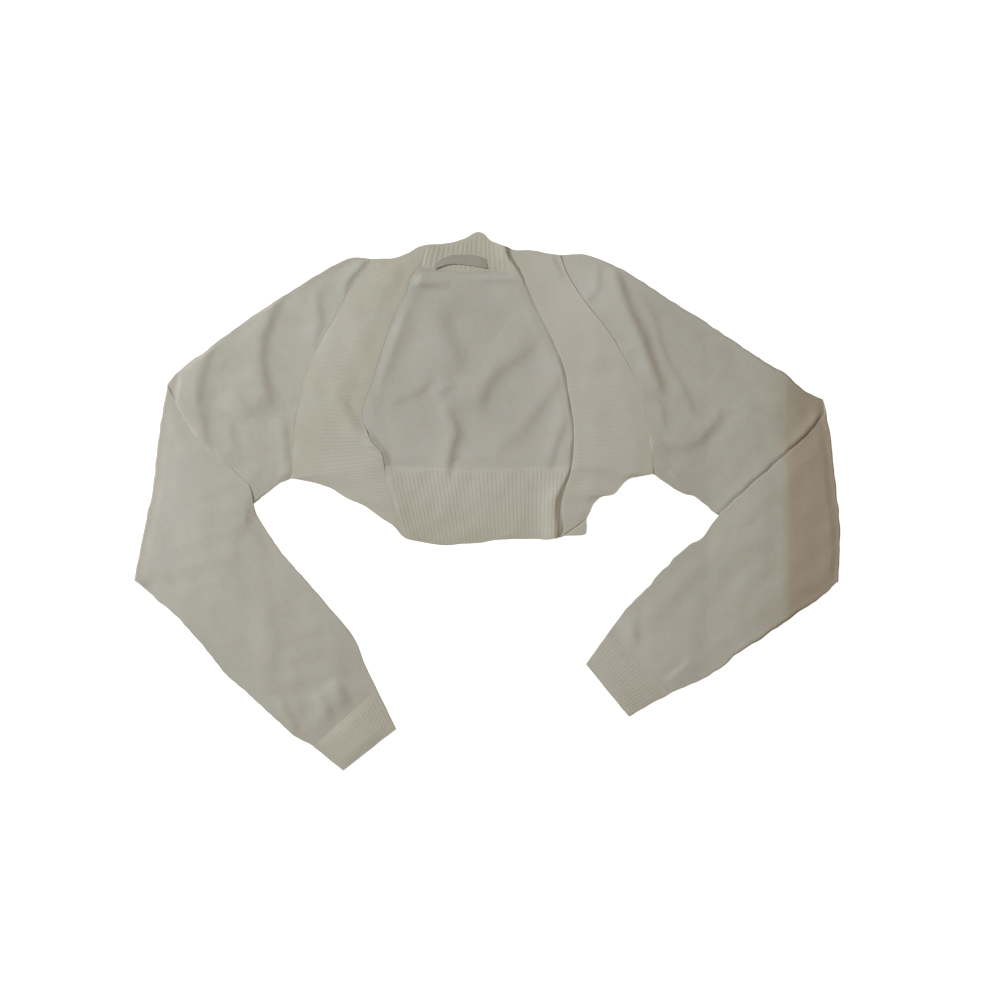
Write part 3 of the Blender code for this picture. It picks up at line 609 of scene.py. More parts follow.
PLAIN_OUTSIDE = KnitFinish(
    name="plain_knit_outside", slot="plain_knit",
    light=(0.60, 0.585, 0.52), dark=(0.52, 0.495, 0.425), blush=(0.60, 0.545, 0.47), cool=(0.555, 0.57, 0.52),
    stitch_depth=0.0004,
)
PLAIN_INSIDE = KnitFinish(
    name="plain_knit_inside", slot="plain_knit",
    light=(0.58, 0.565, 0.51), dark=(0.50, 0.475, 0.415), blush=(0.575, 0.525, 0.475), cool=(0.54, 0.55, 0.515),
    stitch_depth=0.0004, face=StitchFace.PURL,
)
RIBBED = KnitFinish(
    name="rib_knit", slot="rib_knit",
    light=(0.60, 0.58, 0.50), dark=(0.51, 0.48, 0.40), blush=(0.60, 0.54, 0.455), cool=(0.555, 0.57, 0.505),
    stitch_depth=0.00025,
)
LINKING = KnitFinish(
    name="linking_yarn", slot="rib_knit",
    light=(0.60, 0.58, 0.51), dark=(0.52, 0.49, 0.42), blush=(0.61, 0.56, 0.49), cool=(0.56, 0.57, 0.51),
    stitch_depth=0.0001,
)
BARE_TAPE = TapeFinish(
    name="bare_label_tape", slot="woven_label",
    light=(0.45, 0.405, 0.36), dark=(0.36, 0.32, 0.285), thread=0.0005,
)


# ---- meshes


@dataclass(frozen=True)
class PalePatch:
    """A soft patch where the colour is mixed towards a paler tone: its middle, its reach each way and how pale it
    makes it.
    """

    middle: Point
    reach: Point
    share: float

    def over(self, plan: Array) -> Array:
        """How pale it makes each plan point."""
        away = (plan - np.array(self.middle)) / np.array(self.reach)
        return self.share * np.exp(-(away**2).sum(axis=-1))


PALE_PATCHES = (
    PalePatch((108, 100), (58, 140), 0.52),
    PalePatch((-20, 22), (95, 45), 0.40),
    PalePatch((95, 228), (52, 50), 0.48),
    PalePatch((165, -158), (70, 75), 0.50),
    PalePatch((-140, -245), (45, 45), 0.12),
    PalePatch((215, 138), (42, 80), 0.26),
    PalePatch((-167, 180), (34, 40), 0.36),
    PalePatch((-148, 30), (36, 45), 0.30),
    PalePatch((-335, 12), (34, 78), 0.26),
    PalePatch((-325, -70), (60, 55), 0.20),
)


def placed(points: Array) -> Array:
    """Drawing points in millimetres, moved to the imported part's frame, in metres.

    Edges of knit never lie quite true, so all the layers waver together by a fraction of a millimetre,
    and less where the ribs hold them.
    """
    moved = np.array(points, float)
    plan = moved[..., :2].copy()
    waver = 0.1 + 0.3 * ramp(np.abs(plan[..., 0] + 18.0), 130.0, 60.0)
    for axis, seed in enumerate(WAVER_SEEDS):
        moved[..., axis] += LAY_SHIFT[axis] + waver * cockle(plan, WAVER_LENGTH, 1.0, seed)
    return moved * MM


def linked(name: str, data: bpy.types.ID) -> Piece:
    """A new object, put into the scene."""
    made = bpy.data.objects.new(name, data)
    bpy.context.scene.collection.objects.link(made)
    return made


def mesh_piece(
    name: str,
    points: Array,
    faces: Array,
    corner_map: Array,
    material: bpy.types.Material,
    values: dict[str, Array],
) -> Piece:
    """An object from points, four-cornered faces and what is known at them.

    Args:
        name: The piece's name.
        points: Its points, in millimetres of the drawing.
        faces: Indices, four to a face.
        corner_map: Wales and courses at each face's corners.
        material: Its finish.
        values: Named numbers at the points.

    Returns:
        The new object.
    """
    mesh = bpy.data.meshes.new(name)
    mesh.from_pydata(placed(points).tolist(), [], faces.tolist())
    knit_map = mesh.uv_layers.new(name="knit")
    knit_map.data.foreach_set("uv", corner_map.reshape(-1).astype(np.float32))
    pale = sum((patch.over(points[:, :2]) for patch in PALE_PATCHES), np.zeros(len(points)))
    for title, numbers in {**values, "pale": np.minimum(pale, 1.0)}.items():
        layer = mesh.attributes.new(title, "FLOAT", "POINT")
        layer.data.foreach_set("value", numbers.reshape(-1).astype(np.float32))
    mesh.shade_smooth()
    mesh.materials.append(material)
    return linked(name, mesh)


def outward(points: Array, faces: Array) -> bool:
    """Whether a closed shell's faces look outwards."""
    corners = points[faces[:, :3]]
    rest = points[faces[:, [0, 2, 3]]]
    return bool(np.linalg.det(corners).sum() + np.linalg.det(rest).sum() > 0)


@dataclass
class Wall:
    """A closed cloth wall over a plan grid, rounded at its rim."""

    plan: Array  # rows x columns x 2
    underside: Array  # rows x columns
    round_rows: Array  # share of the half thickness at each row
    round_columns: Array
    stitch_map: Array  # rows x columns x 2, in wales and courses
    thickness: float = WALL
    rib_phase: Optional[Array] = None  # rows x columns
    rib_amount: Optional[Array] = None
    fullness: Union[float, Array] = 1.0  # share of the thickness, where the wall thins out

    def piece(self, name: str, material: bpy.types.Material) -> Piece:
        """Makes the wall's object."""
        rows, columns = self.plan.shape[:2]
        half = self.thickness / 2 * self.fullness
        rounding = np.minimum(self.round_rows[:, None], self.round_columns[None, :])
        middle = self.underside + half
        upper = np.dstack([self.plan, middle + half * rounding])
        lower = np.dstack([self.plan, middle - half * rounding])
        index = np.arange(rows * columns).reshape(rows, columns)
        below = index.copy()
        inner = (rows - 2) * (columns - 2)
        below[1:-1, 1:-1] = rows * columns + np.arange(inner).reshape(rows - 2, columns - 2)
        points = np.vstack([upper.reshape(-1, 3), lower[1:-1, 1:-1].reshape(-1, 3)])
        top_faces = self.quads(index)
        faces = np.vstack([top_faces, self.quads(below)[:, ::-1]])
        flat_map = self.stitch_map.reshape(-1, 2)
        corner_map = np.vstack([flat_map[top_faces], flat_map[top_faces[:, ::-1]]])
        if not outward(points, faces):
            faces = faces[:, ::-1]
            corner_map = corner_map[:, ::-1]
        none = np.zeros((rows, columns))
        ribbed = self.rib_phase is not None
        phase, amount = (self.rib_phase, self.rib_amount) if ribbed else (none, none)
        values = {
            "rib_phase": np.concatenate([phase.reshape(-1), phase[1:-1, 1:-1].reshape(-1)]),
            "rib_amount": np.concatenate([amount.reshape(-1), np.zeros(inner)]),
            "flat_side": np.concatenate([none.reshape(-1), np.full(inner, float(ribbed))]),
        }
        return mesh_piece(name, points, faces, corner_map, material, values)

    @staticmethod
    def quads(index: Array) -> Array:
        """The four-cornered faces of a grid of point numbers."""
        return np.stack([index[:-1, :-1], index[:-1, 1:], index[1:, 1:], index[1:, :-1]], axis=-1).reshape(-1, 4)


@dataclass
class FlatTube:
    """A tube of cloth that lies flat: rings round it, each with an outer and an inner loop.

    A loop starts at the middle of the first side edge, runs along the lower layer to the other side
    edge, and comes back along the upper layer. Depth is measured up from the lower face.
    """

    chords: Array  # one width for each ring
    upper: Array  # rings x upper flat points: the depth of the upper face
    rims: Array  # share of the half wall at each ring
    edges: Array  # rings x 2: the thickness at the two side edges
    wall: float = SLEEVE_WALL
    lower_points: int = 60

    ARC = (-60.0, -30.0, 0.0, 30.0, 60.0)  # degrees of the points round a side edge

    @property
    def lower_flat(self) -> slice:
        """The loop's flat points on the lower layer."""
        return slice(3, 3 + self.lower_points)

    @property
    def turning(self) -> int:
        """The number of the loop's point at the second side edge."""
        return self.lower_flat.stop + 2

    def flat_places(self, points: int) -> Array:
        """How far across each ring's flat points lie, where there are this many."""
        starts = self.edges[:, :1] / 2
        ends = self.chords[:, None] - self.edges[:, 1:] / 2
        return starts + (ends - starts) * np.linspace(0.0, 1.0, points)[None]

    def loop(self, sign: int) -> tuple[Array, Array]:
        """The outer (sign 1) or inner (sign -1) loops.

        Returns:
            How far across and how deep each point lies, as rings x points.
        """
        offset = sign * self.wall / 2 * self.rims[:, None]
        below = self.flat_places(self.lower_points)
        above = self.flat_places(self.upper.shape[1])
        turns = np.radians(self.ARC)[None]
        first, last = self.edges[:, :1] / 2, self.edges[:, 1:] / 2
        first_bend, last_bend = first - self.wall / 2 + offset, last - self.wall / 2 + offset
        lower = np.broadcast_to(self.wall / 2 - offset, below.shape)
        upper = self.upper - self.wall / 2 + offset
        far_side = self.chords[:, None] - last + last_bend * np.cos(turns)
        across = (first - first_bend * np.cos(turns), below, far_side, above)
        depth = (first + first_bend * np.sin(turns), lower, last + last_bend * np.sin(turns), upper)
        return tuple(
            np.hstack([start[:, 2:3], start[:, 1::-1], low, end, high[:, ::-1], start[:, :2:-1]])
            for start, low, end, high in (across, depth)
        )

    def piece(
        self,
        name: str,
        outer: Array,
        inner: Array,
        along: Array,
        material: bpy.types.Material,
        values: dict[str, Array],
        wale: float = WALE,
    ) -> Piece:
        """Makes the tube's object from its rings in space.

        Args:
            name: The piece's name.
            outer: Outer loops' points, rings x points x 3.
            inner: Inner loops' points.
            along: How far along the tube each ring lies.
            material: Its finish.
            values: Named numbers at the outer points; the inner ones get 0.
            wale: Width of a column of stitches.

        Returns:
            The new object.
        """
        rings, around = outer.shape[:2]
        points = np.vstack([outer.reshape(-1, 3), inner[1:-1][::-1].reshape(-1, 3)])
        total = 2 * rings - 2
        index = np.arange(total * around).reshape(total, around)
        following_ring = np.roll(index, -1, axis=0)
        faces = np.stack([
            index, np.roll(index, -1, axis=1), np.roll(following_ring, -1, axis=1), following_ring,
        ], axis=-1).reshape(-1, 4)
        ring_of = np.concatenate([np.arange(rings), np.arange(rings - 2, 0, -1)])
        across, _ = self.loop(1)
        middle = across - self.chords[:, None] / 2
        below = np.arange(around) < self.turning
        following = np.roll(middle, -1, axis=1)
        starts = np.where(below, middle, -middle) / wale
        ends = np.where(below, following, -following) / wale
        course = np.broadcast_to((along / COURSE)[:, None], (rings, around))
        this, other = ring_of, np.roll(ring_of, -1)
        corner_map = np.stack([
            np.stack([wale_at[ring], course[ring]], axis=-1)
            for wale_at, ring in ((starts, this), (ends, this), (ends, other), (starts, other))
        ], axis=2).reshape(-1, 4, 2)
        if not outward(points, faces):
            faces = faces[:, ::-1]
            corner_map = corner_map[:, ::-1]
        none = np.zeros((rings, around))
        known = {"rib_phase": none, "rib_amount": none, "flat_side": none, **values}
        layers = {title: np.vstack([numbers, none[2:]]) for title, numbers in known.items()}
        return mesh_piece(name, points, faces, corner_map, material, layers)


def rows_at(rows: Array, shares: Array) -> Array:
    """Points on each row of a plan grid, at that row's own shares across.

    Args:
        rows: rows x columns x 2.
        shares: rows x points.

    Returns:
        rows x points x 2.
    """
    place = np.clip(shares, 0.0, 1.0) * (rows.shape[1] - 1)
    first = np.minimum(place.astype(int), rows.shape[1] - 2)
    part = (place - first)[..., None]
    row = np.arange(len(rows))[:, None]
    return rows[row, first] * (1 - part) + rows[row, first + 1] * part


def row_lengths(rows: Array) -> Array:
    """The length of each row of a plan grid."""
    return np.linalg.norm(np.diff(rows, axis=1), axis=-1).sum(axis=1)


def applied(piece: Piece) -> Piece:
    """Turns what a piece's modifiers make into its own plain mesh."""
    graph = bpy.context.evaluated_depsgraph_get()
    mesh = bpy.data.meshes.new_from_object(piece.evaluated_get(graph), preserve_all_data_layers=True, depsgraph=graph)
    before = piece.data
    piece.modifiers.clear()
    piece.data = mesh
    bpy.data.meshes.remove(before)
    mesh.name = piece.name
    return piece


@dataclass(frozen=True)
class NodeMaker:
    """A Geometry Nodes tree with named inputs, which is run on a piece and then applied."""

    tree: bpy.types.NodeTree

    def run(self, piece: Piece, **sizes: object) -> Piece:
        """Runs the tree on a piece.

        Args:
            piece: The piece that the tree changes.
            **sizes: A value for each named input, with _ for a space.

        Returns:
            The piece, with its new mesh.
        """
        modifier = piece.modifiers.new(self.tree.name, "NODES")
        modifier.node_group = self.tree
        sockets = {
            item.name: item.identifier
            for item in self.tree.interface.items_tree
            if item.item_type == "SOCKET" and item.in_out == "INPUT"
        }
        for title, value in sizes.items():
            modifier[sockets[title.replace("_", " ")]] = value
        return applied(piece)


def rib_maker() -> NodeMaker:
    """Raises the ribs of a wall along its normals, from its rib_phase and rib_amount."""
    wiring, given, result = new_group(
        "raised_ribs", "GeometryNodeTree",
        {
            "Wall": ("Geometry", None),
            "Rib Height": ("Float", 0.0008),
            "Crest Fullness": ("Float", 0.38),
            "Finish": ("Material", None),
        },
        {"Ribbed Wall": "Geometry"},
    )
    phase, amount = (
        wiring.node("GeometryNodeInputNamedAttribute", {"Name": name}, data_type="FLOAT").outputs[0]
        for name in ("rib_phase", "rib_amount")
    )
    crest = wiring.crests(phase, given.outputs["Crest Fullness"])
    rise = wiring.math("MULTIPLY", wiring.math("MULTIPLY", crest, amount), given.outputs["Rib Height"])
    normal = wiring.node("GeometryNodeInputNormal").outputs[0]
    offset = wiring.node("ShaderNodeVectorMath", {0: normal, "Scale": rise}, operation="SCALE").outputs[0]
    moved = wiring.node("GeometryNodeSetPosition", {"Geometry": given.outputs["Wall"], "Offset": offset})
    wiring.dressed(moved.outputs[0], given.outputs["Finish"], result)
    return NodeMaker(wiring.tree)


def linking_maker() -> NodeMaker:
    """Lays small arched stitches across a seam, all along its line."""
    wiring, given, result = new_group(
        "linking_stitches", "GeometryNodeTree",
        {
            "Seam Line": ("Geometry", None),
            "Pitch": ("Float", 0.0022),
            "Width": ("Float", 0.0022),
            "Rise": ("Float", 0.0006),
            "Yarn Radius": ("Float", 0.0004),
            "Seed": ("Int", 3),
            "Finish": ("Material", None),
        },
        {"Stitches": "Geometry"},
    )
    line = wiring.node("GeometryNodeMeshToCurve", {"Mesh": given.outputs["Seam Line"]}).outputs[0]
    spaced = wiring.node("GeometryNodeResampleCurve", {"Curve": line, "Length": given.outputs["Pitch"]}, mode="LENGTH")
    half = wiring.math("MULTIPLY", given.outputs["Width"], 0.5)
    corners = {
        title: wiring.node("ShaderNodeCombineXYZ", {0: across, 2: up}).outputs[0]
        for title, across, up in (
            ("Start", wiring.math("MULTIPLY", half, -1.0), 0.0),
            ("Middle", 0.0, wiring.math("MULTIPLY", given.outputs["Rise"], 2.0)),
            ("End", half, 0.0),
        )
    }
    arch = wiring.node("GeometryNodeCurveQuadraticBezier", {"Resolution": 4, **corners}).outputs[0]
    ring = wiring.node("GeometryNodeCurvePrimitiveCircle", {"Resolution": 6, "Radius": given.outputs["Yarn Radius"]})
    yarn = wiring.node(
        "GeometryNodeCurveToMesh", {"Curve": arch, "Profile Curve": ring.outputs[0], "Fill Caps": True},
    )
    lean, size = (
        live_socket(wiring.node("FunctionNodeRandomValue", {
            "Min": least, "Max": most, "Seed": given.outputs["Seed"],
        }, data_type=kind).outputs, "Value")
        for kind, least, most in (("FLOAT_VECTOR", (-0.22, -0.22, 0.0), (0.22, 0.22, 0.0)), ("FLOAT", 0.85, 1.12))
    )
    tangent = wiring.node("GeometryNodeInputTangent").outputs[0]
    way = wiring.node("ShaderNodeVectorMath", {0: tangent, 1: lean}, operation="ADD").outputs[0]
    turn = wiring.node("FunctionNodeAlignRotationToVector", {"Vector": way}, axis="Y", pivot_axis="Z")
    laid = wiring.node("GeometryNodeInstanceOnPoints", {
        "Points": spaced.outputs[0], "Instance": yarn.outputs[0], "Rotation": turn.outputs[0], "Scale": size,
    })
    wiring.dressed(laid.outputs[0], given.outputs["Finish"], result)
    return NodeMaker(wiring.tree)


@dataclass
class Workroom:
    """What every piece is made with: the finishes' materials and the node trees."""

    groups: KnitGroups = field(default_factory=KnitGroups)
    ribs: NodeMaker = field(default_factory=rib_maker)
    linking: NodeMaker = field(default_factory=linking_maker)
    made: dict[str, bpy.types.Material] = field(default_factory=dict)

    def material(self, finish: Union[KnitFinish, TapeFinish]) -> bpy.types.Material:
        """The finish's material, built the first time that it is asked for."""
        if finish.name not in self.made:
            needs_groups = isinstance(finish, KnitFinish)
            self.made[finish.name] = finish.material(self.groups) if needs_groups else finish.material()
        return self.made[finish.name]

    def rib(self, piece: Piece, height: float) -> Piece:
        """Raises a rib-knit piece's ribs by this many metres."""
        return self.ribs.run(piece, Rib_Height=height, Finish=self.material(RIBBED))


@dataclass(frozen=True)
class Cut:
    """The flat size that a piece is knitted to, in metres."""

    width: float
    length: float
    area: float
    held: str = "laid"


def take_place(
    piece: Piece, node: str
) -> None:
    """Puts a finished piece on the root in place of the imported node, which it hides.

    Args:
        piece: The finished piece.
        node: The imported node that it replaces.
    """
    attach(piece, ROOT)
    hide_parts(node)
    log.info("%s: %d faces, box %s", piece.name, len(piece.data.polygons), np.round(piece.dimensions, 3))


# ---- pieces


def past_band(side: Side, plan: Array) -> Array:
    """How far each plan point lies past a front band's free edge, towards the middle of the back."""
    edge = edge_at(smooth_curve(BAND_EDGE_LEFT if side is Side.LEFT else BAND_EDGE_RIGHT), plan[..., 1])
    return -side.value * (plan[..., 0] - edge)


def beside_left_band(plan: Array) -> Array:
    """How far the cloth under the left band's free edge rises to meet it, where that edge lies close."""
    height = plan[..., 1]
    gap = past_band(Side.LEFT, plan)
    close = np.maximum(ramp(height, 72.0, 10.0), 1 - ramp(height, 28.0, 12.0))
    raised = 1.22 * ramp(gap, -8.0, 8.0) + 0.14 * smoothstep(gap / 3.0)
    raised = close * raised * fade(gap, 14.0)
    # Where the band stands off, the cloth slopes down away from it.
    slope = np.interp(height, (30, 34, 40, 46, 57, 67, 74, 80), (0.0, 0.5, 1.8, 2.6, 3.5, 2.8, 1.1, 0.0))
    return raised + slope * ramp(gap, -8.0, 8.0) * fade(gap, 5.4)


@dataclass
class BackPanel:
    """The plain back, which lies face down, so that its inside shows between the front bands."""

    columns: tuple[int, ...] = (60, 4, 120, 4, 34)  # shoulder, neck end, neck, neck end, shoulder
    shoulders: tuple[float, float] = (80.0, 42.0)  # lengths of the left and the right one
    at_hem: tuple[float, float] = (0.24, 0.80)  # the hem seam's shares between which the neck's columns end
    height: float = 235.0
    row_step: float = 1.8
    loft: float = 0.8  # how far the loose cloth between the bands lies off the floor
    ease: float = 12.0
    # y, the groove's width and the height of the cloth beside it, along the right band's free edge
    right_groove: tuple[Point3, ...] = (
        (36, 2.2, 1.4), (48, 3.2, 1.8), (62, 2.6, 1.6), (70, 1.2, 1.1), (80, 1.8, 1.4), (100, 2.8, 1.7),
        (118, 1.8, 1.4), (132, 3.4, 1.9), (146, 3.0, 1.8), (156, 1.2, 1.1), (200, 1.2, 1.1), (222, 2.0, 1.3),
        (234, 3.2, 1.7), (246, 5.0, 2.4),
    )
    cut: Cut = Cut(0.382, 0.243, 0.0695)
    folds: tuple[Fold, ...] = creases(
        (8.8, 17.9, 23, 55.5, 168.3, 0, 39, 156.9, 2.3, 21.1, 143.4, 2.9, 7.9, 132.2, 3.5, -1.2, 120.3, 3.6,
         -5.5, 106.8, 3.3, -8.4, 93.4, 0),
        (7.4, 11.1, 22.3, -45, 106, 0, -41, 93.4, 3.1, -35.5, 81, 4.1, -33.6, 70.1, 4.3, -37.5, 58.9, 4.5,
         -40, 45.8, 4.5, -42.1, 37.8, 4, -43.1, 27.1, 1.9, -44.1, 16.6, 0),
        (7.5, 14.1, 14.1, -60, 135.5, 0, -64.2, 123.6, 2.6, -76.2, 113.6, 2.8, -92.4, 107, 2.3, -106.9, 101, 0),
        (7.1, 12.2, 12.2, -34, 124.4, 0, -43.5, 118.4, 2.6, -52.8, 112.1, 1.8, -57.1, 108.3, 0),
        (10.5, 19.4, 25.5, -84.5, 216, 0, -88.5, 188.5, 1.4, -95, 163.5, 1.7, -104.5, 142.5, 1.7, -115, 129.5, 1.2,
         -119, 121.5, 0),
        (9.3, 28.4, 40.5, -45.3, 220.1, 0, -44.4, 191, 2.1, -39, 170.6, 3.1, -32.5, 151.6, 2.9, -27.5, 133, 0),
        (8.1, 16.5, 19.3, 77.3, 131.1, 0, 67.8, 118.1, 1.8, 59.8, 105.6, 2.5, 51.3, 95, 2.7, 43.8, 84.6, 2.5,
         35.1, 71.9, 2, 22.5, 63.3, 1.6, 12.2, 53, 1.2, 3.8, 41.6, 0),
        (6.6, 11.5, 11.5, 82.5, 92, 0, 76, 75, 2.6, 72, 62.5, 3.2, 67.5, 49, 3, 64.5, 37.5, 1.6, 63.5, 29, 0),
        (4.5, 10, 10, -41.1, 223.1, 0, -62.2, 226.1, 4, -77.8, 227.1, 4, -90.8, 228.1, 0),
        (4.6, 10, 10, 34, 230.5, 0, 11, 232.5, 5, -10, 234.5, 5, -29, 237, 0),
        (19, 35.2, 35.2, 32, 211.5, 0, 16.5, 188.5, -2.2, 9, 169.5, -2.2, 4.5, 153, 0),
    )

    def wall(self) -> Wall:
        """The back's wall."""
        rows, round_rows = graded(self.height, self.row_step, (SEWN_RIM, SEWN_RIM))
        left, right = self.shoulders
        first, round_first = graded(left, left / self.columns[0], (SEWN_RIM, 0.0))
        last, round_last = graded(right, right / self.columns[-1], (0.0, SEWN_RIM))
        counts = self.columns[1:4]
        middle = [np.linspace(0.0, 1.0, count + 1) for count in counts]
        top = chained(
            on_line(BACK_SHOULDER_LEFT, first),
            on_line((BACK_SHOULDER_LEFT[-1], NECK_SEAM[0]), middle[0]),
            on_line(NECK_SEAM, middle[1]),
            on_line((NECK_SEAM[-1], BACK_SHOULDER_RIGHT[0]), middle[2]),
            on_line(BACK_SHOULDER_RIGHT, last),
        )
        round_columns = np.concatenate([round_first, np.ones(sum(counts) - 1), round_last])
        # The columns keep their order down to the hem seam, closest together at the two side rims.
        begin, end = self.at_hem
        middle_shares = np.linspace(begin, end, sum(counts) + 1)[1:-1]
        spread = np.concatenate([first * begin, middle_shares, end + last * (1 - end)])
        plan = coons(
            top,
            on_line(HEM_SEAM, spread),
            on_line(ARMHOLE_LEFT, rows),
            on_line(ARMHOLE_RIGHT, rows),
            spread,
            rows,
        )
        hem = edge_at(smooth_curve(HEM_SEAM)[:, ::-1], plan[..., 0])
        loose = (self.loft + cockle(plan, 34.0, 0.16, 11)) * ramp(plan[..., 1] - hem, 1.0, self.ease)
        lift = self.shown(plan) * np.maximum(loose + fold_relief(plan, self.folds), 0.0) + self.beside_bands(plan)
        stitch_map = np.stack([plan[..., 0] / WALE, plan[..., 1] / COURSE], axis=-1)
        return Wall(plan, lift, round_rows, round_columns, stitch_map)

    def shown(self, plan: Array) -> Array:
        """1 where the back lies loose between the bands and under the neck, and 0 at them."""
        short_of_neck = edge_at(smooth_curve(NECK_SEAM)[:, ::-1], plan[..., 0]) - plan[..., 1]
        shown = 1.0
        for inwards in (*(past_band(side, plan) for side in Side), short_of_neck):
            shown = shown * ramp(inwards, 1.0, self.ease)
        return shown

    def beside_bands(self, plan: Array) -> Array:
        """How far the loose cloth stands up just short of the front bands' free edges."""
        gap = past_band(Side.RIGHT, plan)
        heights, widths, rises = np.array(self.right_groove).T
        width, rise = (np.interp(plan[..., 1], heights, sizes) for sizes in (widths, rises))
        return beside_left_band(plan) + rise * ramp(gap, 0.2, width) * fade(gap, 15.0)

    def make(self, room: Workroom) -> Piece:
        """Makes the back in place of its solid."""
        piece = self.wall().piece("back_cloth", room.material(PLAIN_INSIDE))
        take_place(piece, "back_panel")
        return piece


@dataclass
class HemRib:
    """The rib-knit hem of the back, with its plain turned corner at the right."""

    pitch: float = 4.0
    facets: int = 8  # lines across a rib
    rib_height: float = 0.175
    depth: float = 75.0  # from the seam to the free edge
    row_step: float = 2.6
    sides: tuple[float, float] = (128.0, 100.0)  # lengths of the left and the right side edge
    side_step: float = 3.0
    side_start: float = 0.06  # the side edges begin at this share of their curves, clear of the seam
    seam_ends: tuple[float, float] = (0.03, 0.975)  # the seam's shares at which the top edge starts and ends
    cut: Cut = Cut(0.381, 0.080, 0.0204)

    def make(self, room: Workroom) -> Piece:
        """Makes the hem in place of its solid."""
        bottom_line = smooth_curve(HEM_BOTTOM)
        ribs = round(lengths_along(bottom_line)[-1] / self.pitch) + 2
        steps = ribs * self.facets
        side, round_side = graded(self.sides[0], self.side_step, (FREE_RIM, 0.0))
        turn = np.linspace(0.0, 1.0, 3)
        corner = np.linspace(0.0, 1.0, 24)
        far, round_far = graded(self.sides[1], self.side_step, (0.0, FREE_RIM))
        start = self.side_start
        bottom = chained(
            on_line(SIDE_LEFT, start + (1 - start) * side),
            on_line((SIDE_LEFT[-1], HEM_BOTTOM[0]), turn),
            at_shares(bottom_line, np.linspace(0.0, 1.0, steps + 1)),
            on_line(HEM_CORNER_RIGHT, 1 - corner),
            on_line(SIDE_RIGHT, start + (1 - start) * (1 - far)),
        )
        before = len(side) - 1 + len(turn) - 1
        after = len(corner) - 1 + len(far) - 1
        seam = smooth_curve(HEM_SEAM)
        seam_shares = lengths_along(seam) / lengths_along(seam)[-1]
        # The seam's shares where the bands' free edges cross it, and straight above the turned corner's end.
        first_shown, last_shown, corner_at = (
            np.interp(x, seam[:, 0], seam_shares)
            for x in (BAND_EDGE_LEFT[-4][0], BAND_EDGE_RIGHT[-4][0], HEM_CORNER_RIGHT[0][0])
        )
        seam_start, seam_end = self.seam_ends
        side_shares = seam_start + (first_shown - seam_start) * side * 0.985
        top_shares = np.concatenate([
            side_shares,
            np.linspace(side_shares[-1], first_shown, len(turn))[1:],
            np.linspace(first_shown, last_shown, steps + 1)[1:],
            np.linspace(last_shown, corner_at, len(corner))[1:],
            (corner_at + (seam_end - corner_at) * far)[1:],
        ])
        top = at_shares(seam, top_shares) - np.array([0.0, 1.6 * SEAM_GAP])
        rows, round_rows = graded(self.depth, self.row_step, (SEWN_RIM, FREE_RIM))
        plan = ruled(top, bottom, rows)
        round_columns = np.concatenate([round_side, np.ones(len(turn) - 1 + steps + len(corner) - 1), round_far[1:]])
        # Past the ribs, the turned corner goes on with stitches of the same size.
        marks = (0, before, before + steps, before + steps + after)
        phase = np.interp(np.arange(plan.shape[1]), marks, (-before * 0.75, 0, ribs, ribs + after * 0.4))
        in_ribs = ramp(phase, -0.05, 0.1) * ramp(ribs - phase, -0.05, 0.1)
        down = rows * self.depth
        ends = ramp(down, 1.0, 2.0) * smoothstep((self.depth - 0.8 - down) / 1.6)
        clear = self.clear_of_bands(plan)
        amount = ends[:, None] * in_ribs[None] * clear
        phase_grid = np.broadcast_to(phase, plan.shape[:2])
        length_down = np.cumsum(np.r_[0.0, np.diff(rows)])[:, None] * np.linalg.norm(bottom - top, axis=1)[None]
        stitch_map = np.stack([WALES_PER_RIB * phase_grid + 0.5, length_down / COURSE], axis=-1)
        underside = clear * 0.25 * smoothstep(ends)[:, None] * (1 + cockle(plan, 26.0, 0.8, 5))
        underside = np.maximum(underside, 0.0) + self.beside_band(plan, down) + beside_left_band(plan)
        running_in = np.maximum(fold_relief(plan, BackPanel.folds), 0.0)
        underside = underside + clear * running_in * (1 - smoothstep(down / 22.0))[:, None] + self.corner(plan)
        wall = Wall(plan, underside, round_rows, round_columns, stitch_map, rib_phase=phase_grid, rib_amount=amount)
        piece = wall.piece("hem_cloth", room.material(RIBBED))
        room.rib(piece, self.rib_height * MM)
        take_place(piece, "hem_rib")
        return piece

    @staticmethod
    def beside_band(plan: Array, down: Array) -> Array:
        """How far the hem stands up short of the right band, where it rolls down under the band's edge.

        Args:
            plan: rows x columns x 2.
            down: How far below the seam each row lies.

        Returns:
            rows x columns.
        """
        gap = past_band(Side.RIGHT, plan)
        width, rise = (
            np.interp(down, (0, 12, 30, 75), sizes)[:, None] for sizes in ((2.0, 3.8, 8.0, 9.5), (1.3, 1.8, 3.0, 3.6))
        )
        return rise * ramp(gap, 0.3, width) * fade(gap - width, 12.0)

    @staticmethod
    def corner(plan: Array) -> Array:
        """How far the plain turned corner stands up just past the right band's end."""
        past = -beside_line(plan, np.array([(78.0, -35.2), (102.0, -18.0)]))[0]
        return 0.85 * ramp(past, -4.0, 4.0) + 0.55 * smoothstep(past / 1.2)

    @staticmethod
    def clear_of_bands(plan: Array) -> Array:
        """1 between the front bands' free edges and 0 under the bands."""
        return math.prod(ramp(past_band(side, plan), -0.5, 2.0) for side in Side)


